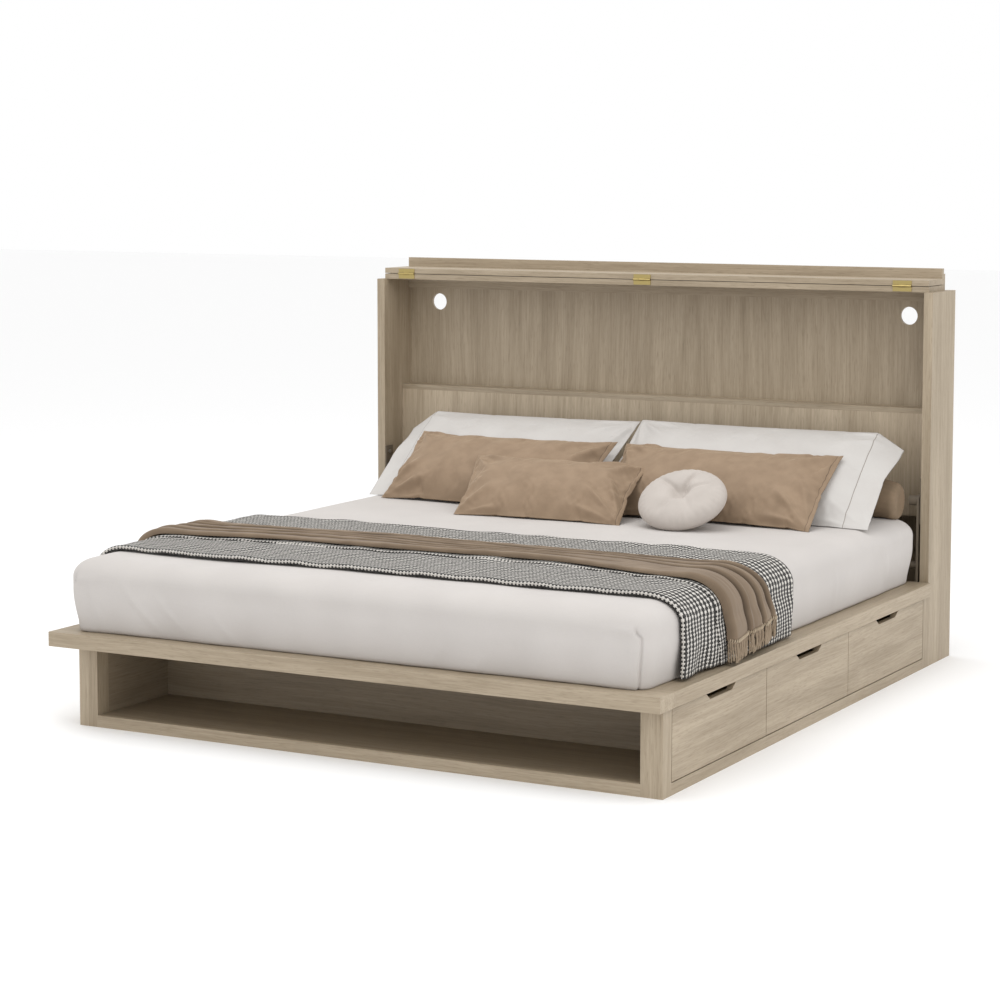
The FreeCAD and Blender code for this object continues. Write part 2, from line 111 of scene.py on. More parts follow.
def ring_faces(rings: int, around: int) -> np.ndarray:
    """The quads of a stack of closed rings, whose vertices are numbered ring by ring."""
    numbers = np.arange(rings * around).reshape(rings, around)
    return quads(np.hstack([numbers, numbers[:, :1]]))


def smoothstep(value: np.ndarray, low: float, high: float) -> np.ndarray:
    """Rise from 0 at low to 1 at high along 3t^2 - 2t^3."""
    t = np.clip((value - low) / (high - low), 0.0, 1.0)
    return t * t * (3 - 2 * t)


def soft_noise(places: np.ndarray, size: float, seed: int, waves: int = 18) -> np.ndarray:
    """Smooth random relief of about unit height.

    The value is a sum of cosine waves with random directions and phases, whose lengths lie round size,
    divided by the square root of half their number.

    Args:
        places: (..., k) coordinates in metres.
        size: Usual length of a wave in metres.
        seed: Seed of the random draws.
        waves: How many waves are summed.

    Returns:
        (...) heights.
    """
    draw = np.random.default_rng(seed)
    directions = draw.normal(size=(waves, places.shape[-1]))
    directions /= np.linalg.norm(directions, axis=1, keepdims=True)
    lengths = size * draw.uniform(0.7, 1.6, waves)
    phases = draw.uniform(0, 2 * np.pi, waves)
    angles = places @ (directions / lengths[:, None]).T * 2 * np.pi + phases
    return np.cos(angles).sum(axis=-1) / math.sqrt(waves / 2)


def grid_normals(points: np.ndarray) -> np.ndarray:
    """Unit normals of a grid surface: the cross product of its slopes down and across."""
    down = np.gradient(points, axis=0)
    across = np.gradient(points, axis=1)
    normal = np.cross(down, across)
    return normal / np.maximum(np.linalg.norm(normal, axis=-1, keepdims=True), 1e-12)


def cloth_shell(
    name: str, top: np.ndarray, normals: np.ndarray, thickness: float, uv: np.ndarray, turns: int = 5
) -> bpy.types.Object:
    """Close a grid of cloth into a shell with rounded long edges.

    Each row of the grid becomes a loop: across the top, round a half circle as wide as the cloth is
    thick, back underneath and round again. The first and the last loop are closed by strips that join
    their upper half to their lower half.

    Args:
        name: The piece's name.
        top: (rows, columns, 3) upper surface.
        normals: (rows, columns, 3) outward directions.
        thickness: Thickness of the cloth.
        uv: (rows, columns, 2) cloth coordinates in metres.
        turns: Vertices round each half circle.

    Returns:
        The cloth piece.
    """
    rows, columns, _ = top.shape
    radius = thickness / 2
    angles = (np.arange(turns) + 1) * np.pi / (turns + 1)
    rims, rim_maps = [], []
    for edge, inner, sign, turn in ((-1, -2, 1, angles), (0, 1, -1, angles[::-1])):
        outward = top[:, edge] - top[:, inner]
        outward /= np.linalg.norm(outward, axis=-1, keepdims=True)
        centre = top[:, edge] - normals[:, edge] * radius
        rims.append(
            centre[:, None]
            + normals[:, edge][:, None] * (np.cos(turn) * radius)[None, :, None]
            + outward[:, None] * (np.sin(turn) * radius)[None, :, None]
        )
        along = uv[:, edge][:, None] + np.zeros((1, turns, 2))
        along[..., 1] += sign * radius * turn
        rim_maps.append(along)
    under = (top - normals * thickness)[:, ::-1]
    loops = np.concatenate([top, rims[0], under, rims[1]], axis=1)
    cloth = np.concatenate([uv, rim_maps[0], uv[:, ::-1], rim_maps[1]], axis=1)
    around = loops.shape[1]
    upper = np.arange(columns)
    lower = columns + turns + upper[::-1]
    left = np.concatenate([[0], 2 * columns + turns + np.arange(turns)[::-1], lower[:1]])
    right = np.concatenate([[columns - 1], columns + np.arange(turns), lower[-1:]])
    half = len(left) // 2
    strips = (
        (upper, lower, False), (left[:half], left[::-1][:half], True),
        (right[:half], right[::-1][:half], False),
    )
    faces = [ring_faces(rows, around)]
    for row, flip in ((0, False), (rows - 1, True)):
        for first, second, turned in strips:
            strip = quads(np.column_stack([first, second])) + row * around
            faces.append(strip[:, ::-1] if flip != turned else strip)
    return build_mesh(name, loops.reshape(-1, 3), np.vstack(faces), cloth.reshape(-1, 2))


def tubes(
    name: str, centre: np.ndarray, radius: np.ndarray, uv: np.ndarray, falling: bool
) -> bpy.types.Object:
    """Closed six-sided tubes of level rings, such as strands of yarn.

    Args:
        name: The piece's name.
        centre: (count, rings, 3) middle of each ring.
        radius: (count, rings) radius of each ring.
        uv: (count, rings, 2) cloth coordinates of each ring.
        falling: Whether the rings run downwards, which turns the faces over.

    Returns:
        All the tubes as one piece.
    """
    count, rings, _ = centre.shape
    sides = 6
    turn = np.arange(sides) * 2 * np.pi / sides
    ring = np.stack([np.cos(turn), np.sin(turn), np.zeros(sides)], axis=-1)
    points = centre[:, :, None] + radius[..., None, None] * ring
    caps = np.array([[0, 1, 2, 3], [0, 3, 4, 5]])
    one = np.vstack([ring_faces(rings, sides), caps, caps[:, ::-1] + (rings - 1) * sides])
    if falling:
        one = one[:, ::-1]
    faces = one[None] + (np.arange(count) * rings * sides)[:, None, None]
    maps = np.repeat(uv[:, :, None], sides, axis=2)
    return build_mesh(name, points.reshape(-1, 3), faces.reshape(-1, 4), maps.reshape(-1, 2))


def laid(
    line: np.ndarray, out: np.ndarray, y: np.ndarray, lift: np.ndarray, rise: np.ndarray | float = 0.0
) -> tuple[np.ndarray, np.ndarray]:
    """Lay a cloth over a line across the bed.

    Args:
        line: (rows, 2) places in X and Z.
        out: (rows, 2) outward directions.
        y: (rows, columns) places along the bed.
        lift: (rows, columns) distance outwards from the line.
        rise: Further height.

    Returns:
        (rows, columns, 3) points, and their normals, turned outwards.
    """
    out_x, out_z = out[:, None, 0], out[:, None, 1]
    x = line[:, None, 0] + out_x * lift
    z = line[:, None, 1] + out_z * lift + rise
    grid = np.stack([x, y, z], axis=-1)
    normals = grid_normals(grid)
    normals *= np.sign(normals[..., 0] * out_x + normals[..., 2] * out_z)[..., None]
    return grid, normals


def dress(piece: bpy.types.Object, material: bpy.types.Material) -> None:
    """Give a piece one material in all its slots."""
    piece.data.materials.clear()
    piece.data.materials.append(material)


# --------------------------------------------------------------------------------------
# Finishes
# --------------------------------------------------------------------------------------


def linear(hex_colour: str) -> tuple[float, float, float, float]:
    """Turn an sRGB hex colour into linear red, green, blue and alpha."""
    parts = [int(hex_colour[i : i + 2], 16) / 255 for i in (1, 3, 5)]
    channels = [c / 12.92 if c <= 0.04045 else ((c + 0.055) / 1.055) ** 2.4 for c in parts]
    return (*channels, 1.0)


def feed(tree: bpy.types.NodeTree, node: bpy.types.Node, inputs: dict) -> None:
    """Link each input that is given a socket, and set each other one."""
    for socket, value in inputs.items():
        if isinstance(value, bpy.types.NodeSocket):
            tree.links.new(value, node.inputs[socket])
        else:
            node.inputs[socket].default_value = value


def add_node(
    tree: bpy.types.NodeTree, kind: str, inputs: dict | None = None, **settings: object
) -> bpy.types.Node:
    """Add one node with its settings and links.

    Args:
        tree: The material's node tree.
        kind: The node's type name.
        inputs: Values or output sockets by input name or number.
        **settings: Attributes of the node, such as operation.

    Returns:
        The new node.
    """
    node = tree.nodes.new(kind)
    for name, value in settings.items():
        setattr(node, name, value)
    feed(tree, node, inputs or {})
    return node


class Recipe:
    """One material's node tree, with a short call for each kind of node that the finishes use."""

    def __init__(self, name: str) -> None:
        """Start an empty material with a Principled shader."""
        self.made = bpy.data.materials.new(name)
        self.made.use_nodes = True
        self.tree = self.made.node_tree
        self.tree.nodes.clear()
        self.shader = add_node(self.tree, "ShaderNodeBsdfPrincipled")
        add_node(self.tree, "ShaderNodeOutputMaterial", {"Surface": self.shader.outputs["BSDF"]})

    def place(self) -> bpy.types.NodeSocket:
        """The point in the object's own metres."""
        return add_node(self.tree, "ShaderNodeTexCoord").outputs["Object"]

    def own_map(self, name: str = "cloth") -> bpy.types.NodeSocket:
        """The piece's own map of that name."""
        return add_node(self.tree, "ShaderNodeUVMap", uv_map=name).outputs[0]

    def parts(self, vector: bpy.types.NodeSocket) -> bpy.types.NodeOutputs:
        """X, Y and Z of a vector."""
        return add_node(self.tree, "ShaderNodeSeparateXYZ", {0: vector}).outputs

    def scaled(self, vector: bpy.types.NodeSocket, scale: Sequence[float]) -> bpy.types.NodeSocket:
        """The vector times one scale for each axis."""
        return add_node(self.tree, "ShaderNodeMapping", {"Vector": vector, "Scale": scale}).outputs[0]

    def noise(
        self, vector: bpy.types.NodeSocket, scale: float, detail: float, output: str = "Fac",
        roughness: float = 0.5,
    ) -> bpy.types.NodeSocket:
        """Smooth noise.

        Args:
            vector: Where it is read.
            scale: Waves in a metre.
            detail: Octaves.
            output: Fac for one value, or Color for three.
            roughness: Weight of each finer octave.

        Returns:
            The noise.
        """
        inputs = {"Vector": vector, "Scale": scale, "Detail": detail, "Roughness": roughness}
        return add_node(self.tree, "ShaderNodeTexNoise", inputs).outputs[output]

    def value(self, operation: str, *values: object) -> bpy.types.NodeSocket:
        """One Math node."""
        node = add_node(self.tree, "ShaderNodeMath", dict(enumerate(values)), operation=operation)
        return node.outputs[0]

    def vector(self, operation: str, *values: object) -> bpy.types.NodeSocket:
        """One Vector Math node."""
        node = add_node(self.tree, "ShaderNodeVectorMath", dict(enumerate(values)), operation=operation)
        return node.outputs[0]

    def drifted(
        self, place: bpy.types.NodeSocket, scale: float, reach: Sequence[float]
    ) -> bpy.types.NodeSocket:
        """The place, moved by a soft noise of that scale by up to half of reach each way."""
        centred = self.vector("SUBTRACT", self.noise(place, scale, 1.0, "Color"), (0.5, 0.5, 0.5))
        return self.vector("MULTIPLY_ADD", centred, reach, place)

    def span(
        self, value: bpy.types.NodeSocket, low: float, high: float, to_low: float = 0.0, to_high: float = 1.0
    ) -> bpy.types.NodeSocket:
        """Map low to to_low and high to to_high, and hold the ends."""
        inputs = {"Value": value, "From Min": low, "From Max": high, "To Min": to_low, "To Max": to_high}
        return add_node(self.tree, "ShaderNodeMapRange", inputs).outputs[0]

    def mix(self, share: bpy.types.NodeSocket, *colours: object) -> bpy.types.NodeSocket:
        """Mix two colours, each a socket, an sRGB hex or linear values, by the second one's share."""
        first, second = (linear(c) if isinstance(c, str) else c for c in colours)
        inputs = {"Factor": share, 6: first, 7: second}
        return add_node(self.tree, "ShaderNodeMix", inputs, data_type="RGBA").outputs[2]

    def bump(
        self, height: bpy.types.NodeSocket, deep_mm: float, strength: float = 1.0
    ) -> bpy.types.NodeSocket:
        """Relief of that depth."""
        inputs = {"Height": height, "Distance": deep_mm * MILLIMETRE, "Strength": strength}
        return add_node(self.tree, "ShaderNodeBump", inputs).outputs[0]

    def finished(self, **inputs: object) -> bpy.types.Material:
        """Feed the shader, whose inputs are named with underscores for spaces, and give the material."""
        feed(self.tree, self.shader, {name.replace("_", " "): value for name, value in inputs.items()})
        return self.made


class Grain(Enum):
    """The way that a board's grain runs: the axis's number and its letter."""

    ALONG_X = (0, "x")
    ALONG_Y = (1, "y")
    ALONG_Z = (2, "z")


@dataclass(frozen=True)
class OakFinish:
    """Limed oak veneer with a matt lacquer: pale grey-beige, with fine straight streaks and open pores."""

    name: str
    light: str = "#AFA08A"
    dark: str = "#90816B"
    pore: str = "#776853"
    streak_mm: float = 5.0
    band_mm: float = 45.0
    board_mm: float = 700.0
    pore_length_mm: float = 40.0
    grain_drift: tuple[float, ...] = (0.035, 0.035, 0.035)
    roughness: float = 0.52

    def material(self, grain: Grain) -> bpy.types.Material:
        """Wide tone bands, fine streaks and short pores, each a noise that is stretched along the grain.

        The tone is the sum of band and streak; pores darken it, and the streaks are also its relief.

        Args:
            grain: The way that the grain runs.

        Returns:
            The material.
        """
        axis, letter = grain.value
        recipe = Recipe(f"{self.name}_{letter}")
        bent = recipe.drifted(recipe.place(), 1.6, self.grain_drift)

        def stretched(across_mm: float, along_mm: float, detail: float) -> bpy.types.NodeSocket:
            scale = [1 / (across_mm * MILLIMETRE)] * 3
            scale[axis] = 1 / (along_mm * MILLIMETRE)
            return recipe.noise(recipe.scaled(bent, scale), 1.0, detail, roughness=0.6)

        band = stretched(self.band_mm, self.board_mm, 2.0)
        streak = stretched(self.streak_mm, self.board_mm / 3, 3.0)
        pore = stretched(self.streak_mm / 2, self.pore_length_mm, 1.0)
        figure = recipe.value("MULTIPLY_ADD", streak, 0.55, recipe.value("MULTIPLY", band, 0.55))
        timber = recipe.mix(recipe.span(figure, 0.38, 0.74), self.light, self.dark)
        return recipe.finished(
            Base_Color=recipe.mix(recipe.span(pore, 0.56, 0.72, 0.0, 0.38), timber, self.pore),
            Roughness=recipe.span(streak, 0.0, 1.0, self.roughness - 0.06, self.roughness + 0.08),
            Normal=recipe.bump(streak, 0.4, 0.6),
        )


@dataclass(frozen=True)
class MetalFinish:
    """Metal hardware: a plain sheet or bar, drawn, plated or powder-coated."""

    name: str
    colour: str
    roughness: float
    metallic: float = 1.0
    grit_mm: float = 1.5
    worn: float = 0.8

    def material(self) -> bpy.types.Material:
        """A shader whose tone, roughness and relief follow a fine noise."""
        recipe = Recipe(self.name)
        grit = recipe.noise(recipe.place(), 1 / (self.grit_mm * MILLIMETRE), 2.0)
        clean = linear(self.colour)
        return recipe.finished(
            Base_Color=recipe.mix(grit, clean, (*(self.worn * c for c in clean[:3]), 1.0)),
            Metallic=self.metallic,
            Roughness=recipe.span(grit, 0.0, 1.0, self.roughness - 0.08, self.roughness + 0.1),
            Normal=recipe.bump(grit, 0.05),
        )


class Weave(Enum):
    """How a plain cloth's surface is made: crossed threads, a brushed pile or pressed fibres."""

    WOVEN = "woven"
    PILE = "pile"
    PRESSED = "pressed"


@dataclass(frozen=True)
class ClothFinish:
    """A cloth of one colour: cotton percale, cotton velvet, wool felt or moulded rubber's dull skin."""

    name: str
    colour: str
    shade: str
    weave: Weave
    thread_mm: float
    patch_mm: float
    roughness: float
    sheen: float = 0.0
    sheen_tint: str = "#FFFFFF"
    relief_mm: float = 0.2
    stitched_mm: float = 0.0
    stitch_colour: str = "#6E6257"
    stitch_half_mm: float = 1.1

    def material(self) -> bpy.types.Material:
        """Patches of two close tones, and a relief of threads, pile or fibres.

        Threads are two noises stretched along X and along Z; pile and fibres are one noise as fine as
        the thread spacing. A stitched line runs where the cushion's own map is stitched_mm from the
        sewn end; it is drawn 2 mm wide so that it shows.

        Returns:
            The material.
        """
        recipe = Recipe(self.name)
        place = recipe.place()
        patch = recipe.noise(place, 1 / (self.patch_mm * MILLIMETRE), 3.0)
        spacing = 1 / (self.thread_mm * MILLIMETRE)
        if self.weave is Weave.WOVEN:
            fine = recipe.value("ADD", *(
                recipe.noise(recipe.scaled(place, scale), 1.0, 1.0)
                for scale in ((spacing / 9, spacing, spacing), (spacing, spacing, spacing / 9))
            ))
        else:
            fine = recipe.noise(place, spacing, 2.0)
        fleck = recipe.span(fine, 0.3, 1.3, 0.0, 0.5)
        blend = recipe.value("MULTIPLY_ADD", recipe.span(patch, 0.35, 0.68), 0.7, fleck)
        colour = recipe.mix(blend, self.colour, self.shade)
        if self.stitched_mm:
            line = recipe.value(
                "COMPARE", recipe.parts(recipe.own_map())["X"],
                self.stitched_mm * MILLIMETRE, self.stitch_half_mm * MILLIMETRE,
            )
            colour = recipe.mix(recipe.value("MULTIPLY", line, 0.75), colour, self.stitch_colour)
        return recipe.finished(
            Base_Color=colour, Roughness=self.roughness, Normal=recipe.bump(fine, self.relief_mm),
            Sheen_Weight=self.sheen, Sheen_Roughness=0.35, Sheen_Tint=linear(self.sheen_tint),
        )


@dataclass(frozen=True)
class CheckFinish:
    """Loosely woven wool in a small dog-tooth check: plump black and off-white yarns."""

    name: str = "wool_dogtooth_check"
    white: str = "#D6D2CB"
    black: str = "#161413"
    yarn_mm: float = 5.7
    tooth_mm: float = 20.5
    white_share: float = 0.55
    black_share: float = 0.15
    loose: tuple[float, ...] = (0.006, 0.007, 0.0)

    def material(self) -> bpy.types.Material:
        """Rows of yarn across the bed, each broken into teeth along it.

        Row number is the whole part of u over the yarn's width. Even rows are white for white_share of
        each tooth and black for the rest; odd rows are white for black_share, in the middle of that.
        The relief is the product of a half sine over the row and one over the tooth.

        Returns:
            The material.
        """
        recipe = Recipe(self.name)
        cloth = recipe.own_map()
        parts = recipe.parts(recipe.drifted(cloth, 28.0, self.loose))
        rows = recipe.value("MULTIPLY", parts["X"], 1 / (self.yarn_mm * MILLIMETRE))
        odd = recipe.value("FLOORED_MODULO", recipe.value("FLOOR", rows), 2.0)
        inset = (self.white_share - self.black_share) / 2
        along_row = recipe.value("MULTIPLY", parts["Y"], 1 / (self.tooth_mm * MILLIMETRE))
        teeth = recipe.value("MULTIPLY_ADD", odd, -inset, along_row)
        share = recipe.value("MULTIPLY_ADD", odd, self.black_share - self.white_share, self.white_share)
        pale = recipe.value("LESS_THAN", recipe.value("FRACT", teeth), share)
        fuzz = recipe.noise(cloth, 700.0, 1.0)
        soft = recipe.value("MULTIPLY_ADD", fuzz, 0.2, recipe.value("MULTIPLY", pale, 0.9))
        across, along = (
            recipe.value("ABSOLUTE", recipe.value("SINE", recipe.value("MULTIPLY", turns, math.pi)))
            for turns in (rows, teeth)
        )
        plump = recipe.value("MULTIPLY", across, recipe.value("POWER", along, 0.4))
        return recipe.finished(
            Base_Color=recipe.mix(recipe.value("SUBTRACT", soft, 0.08), self.black, self.white),
            Roughness=0.9, Normal=recipe.bump(plump, 1.6, 1.07), Sheen_Weight=0.05,
        )


@dataclass(frozen=True)
class KnitFinish:
    """Brushed cotton-wool: warm brown twill whose fine ribs run along the cloth, and its yarns."""

    name: str
    colour: str
    shade: str
    rib_mm: float = 3.0
    roughness: float = 0.88
    # Colour of the painted shade in the creases between pleats; no shade when empty.
    valley: str = ""

    def material(self) -> bpy.types.Material:
        """Ribs are a noise stretched along the cloth, and the colour follows long soft patches.

        Where the piece's pleats map says that a place is deep in a valley, the colour goes to the
        valley's tone: painted shade that draws the dark line between two pleats.

        Returns:
            The material.
        """
        recipe = Recipe(self.name)
        cloth = recipe.own_map()
        rib = recipe.noise(recipe.scaled(cloth, (22.0, 1 / (self.rib_mm * MILLIMETRE), 1.0)), 1.0, 2.0)
        mixed = recipe.value("MULTIPLY_ADD", rib, 0.25, recipe.noise(cloth, 9.0, 2.0))
        colour = recipe.mix(recipe.span(mixed, 0.35, 0.90), self.colour, self.shade)
        if self.valley:
            # Painted shade: darker towards the valley's tone where the pleats map says a place lies deep in
            # a crease.
            colour = recipe.mix(recipe.parts(recipe.own_map("pleats"))["X"], colour, self.valley)
        return recipe.finished(
            Base_Color=colour, Roughness=self.roughness, Normal=recipe.bump(rib, 0.4),
            Sheen_Weight=0.08, Sheen_Roughness=0.4,
        )


LIMED_OAK = OakFinish("limed_oak_veneer")
BIRCH = OakFinish(
    "birch_plywood", light="#CDBB98", dark="#BCA984", pore="#AA956F", streak_mm=7.0, band_mm=80.0
)
# A lighter copy of the limed oak for the headboard's front panel: painted light, where that panel catches
# more light.
PANEL_OAK_PAINTED_LIGHT = OakFinish("limed_oak_panel_painted_light", light="#C0B099", dark="#9F8F78", pore="#83735D")
# A darker copy of the limed oak for the shelf recess: painted shade, where the recess lies in shade.
RECESS_OAK_PAINTED_SHADE = OakFinish("limed_oak_painted_shade_in_recess", light="#948672", dark="#7B6D5A", pore="#665947")
BRASS = MetalFinish("polished_brass", "#B9A66E", 0.30)
STEEL = MetalFinish("taupe_powder_coat", "#6F6455", 0.55, metallic=0.0, grit_mm=0.8)
ZINC = MetalFinish("zinc_plated_steel", "#A8A8A6", 0.38)
RUBBER = ClothFinish("black_rubber", "#1C1C1C", "#262626", Weave.PRESSED, 1.5, 30.0, 0.7)
FELT = ClothFinish("grey_wool_felt", "#7A746B", "#6A645C", Weave.PRESSED, 1.2, 12.0, 0.95, 0.2)
PERCALE = ClothFinish(
    "cotton_percale", "#C5C0BC", "#BEB9B5", Weave.WOVEN, 1.6, 220.0, 0.82, 0.12, relief_mm=0.16
)
SHAM_COTTON = ClothFinish(
    "cotton_sateen", "#C5C2BE", "#BDB9B5", Weave.WOVEN, 1.4, 160.0, 0.7, 0.15, relief_mm=0.12,
    stitched_mm=85.0,
)
TAN_VELVET = ClothFinish(
    "tan_cotton_velvet", "#957F68", "#86715B", Weave.PILE, 1.3, 45.0, 0.8, 0.35, "#E8D2B8", 0.25
)
# A darker copy of the tan velvet for the bolster: painted shade, where the bolster sits in shade behind the
# pillows.
BOLSTER_VELVET_PAINTED_SHADE = replace(
    TAN_VELVET, name="tan_cotton_velvet_bolster_painted_shade", colour="#806C56", shade="#71604B", sheen=0.2
)
PIPED_VELVET = replace(
    TAN_VELVET, name="tan_cotton_velvet_stitched", stitched_mm=16.0, stitch_colour="#5C4B3A"
)
CREAM_VELVET = ClothFinish(
    "cream_cotton_velvet", "#BBB3AC", "#B1A9A2", Weave.PILE, 1.3, 60.0, 0.8, 0.3, "#FFF8F0", 0.25
)
# valley is the colour of the painted shade in the creases between the throw's pleats.
THROW_TWILL = KnitFinish("brushed_twill_with_painted_crease_shade", colour="#867460", shade="#6E5D4B", valley="#2A2017")
FRINGE_YARN = KnitFinish("twisted_yarn", colour="#978671", shade="#7D6C59", rib_mm=2.0)
HEM_THREAD = KnitFinish("whip_stitch_thread", colour="#B3A48E", shade="#95846E", rib_mm=1.5)


# --------------------------------------------------------------------------------------
# Timber and metal
# --------------------------------------------------------------------------------------


@dataclass
class Carcass:
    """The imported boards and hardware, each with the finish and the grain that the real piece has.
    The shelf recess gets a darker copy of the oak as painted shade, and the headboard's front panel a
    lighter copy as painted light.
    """

    along_x: tuple[str, ...] = (
        "headboard_top_board", "headboard_ledge", "headboard_stretcher", "top_leaf_fixed",
        "top_leaf_folding", "base_back_panel", "shelf_front_rail", "rim_front", "rim_head",
    )
    painted_shade_recess_x: tuple[str, ...] = ("shelf_floor", "shelf_back_panel")
    painted_shade_recess_y: tuple[str, ...] = ("shelf_liners",)
    along_y: tuple[str, ...] = (
        "base_side_left", "drawer_bottom_rail", "drawer_bay_walls", "deck_centre_support",
        "drawer_1_front", "drawer_2_front", "drawer_3_front", "rim_sides",
    )
    along_z: tuple[str, ...] = (
        "headboard_side_left", "headboard_side_right", "headboard_back_panel",
        "headboard_panel_cleats", "foot_posts", "head_post_right",
    )
    painted_light_panel_z: tuple[str, ...] = ("headboard_front_panel",)
    birch_x: tuple[str, ...] = ("slats",)
    birch_y: tuple[str, ...] = ("slat_ledgers", "drawer_1_box", "drawer_2_box", "drawer_3_box")
    brass: tuple[str, ...] = (
        "top_hinge_leaves_fixed", "top_hinge_leaves_folding", "top_hinge_pins",
        "top_hinge_screws_fixed", "top_hinge_screws_folding",
    )
    steel: tuple[str, ...] = ("deck_arms", "deck_torque_bar", "pivot_brackets", "pivot_spring_cartridges")
    zinc: tuple[str, ...] = (
        "pivot_pins", "pivot_bracket_bolts", "drawer_1_runners", "drawer_2_runners", "drawer_3_runners",
        "drawer_runners_fixed",
    )

    def finish(self) -> None:
        """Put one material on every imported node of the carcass."""
        table = (
            (self.along_x, LIMED_OAK.material(Grain.ALONG_X)),
            (self.along_y, LIMED_OAK.material(Grain.ALONG_Y)),
            (self.along_z, LIMED_OAK.material(Grain.ALONG_Z)),
            # The front panel's lighter oak is painted light.
            (self.painted_light_panel_z, PANEL_OAK_PAINTED_LIGHT.material(Grain.ALONG_Z)),
            # The recess's darker oak is painted shade.
            (self.painted_shade_recess_x, RECESS_OAK_PAINTED_SHADE.material(Grain.ALONG_X)),
            (self.painted_shade_recess_y, RECESS_OAK_PAINTED_SHADE.material(Grain.ALONG_Y)),
            (self.birch_x, BIRCH.material(Grain.ALONG_X)),
            (self.birch_y, BIRCH.material(Grain.ALONG_Y)),
            (self.brass, BRASS.material()),
            (self.steel, STEEL.material()),
            (self.zinc, ZINC.material()),
            (("deck_rubber_pads",), RUBBER.material()),
            (("top_felt_pads",), FELT.material()),
        )
        for names, material in table:
            for name in names:
                dress(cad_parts[name], material)
            log.info("%s on %d nodes", material.name, len(names))


# --------------------------------------------------------------------------------------
# Mattress and cloths
# --------------------------------------------------------------------------------------


@dataclass(frozen=True)
class Crease:
    """A soft ridge in a cloth from one place to another, in the plane of the face that it lies on."""

    start: tuple[float, float]
    end: tuple[float, float]
    width: float
    height: float

    def relief(self, across: np.ndarray, up: np.ndarray) -> np.ndarray:
        """Height of the ridge: a bell curve over the distance from its line, faded at both ends.

        Args:
            across: First coordinate of each point.
            up: Second coordinate of each point.

        Returns:
            The height at each point.
        """
        start, end = np.array(self.start), np.array(self.end)
        line = end - start
        place = np.stack([across, up], axis=-1) - start
        share = (place @ line) / (line @ line)
        side = (place[..., 0] * line[1] - place[..., 1] * line[0]) / np.linalg.norm(line)
        fade = np.clip(1 - (2 * share - 1) ** 2, 0, 1)
        return self.height * fade * np.exp(-((side / self.width) ** 2))


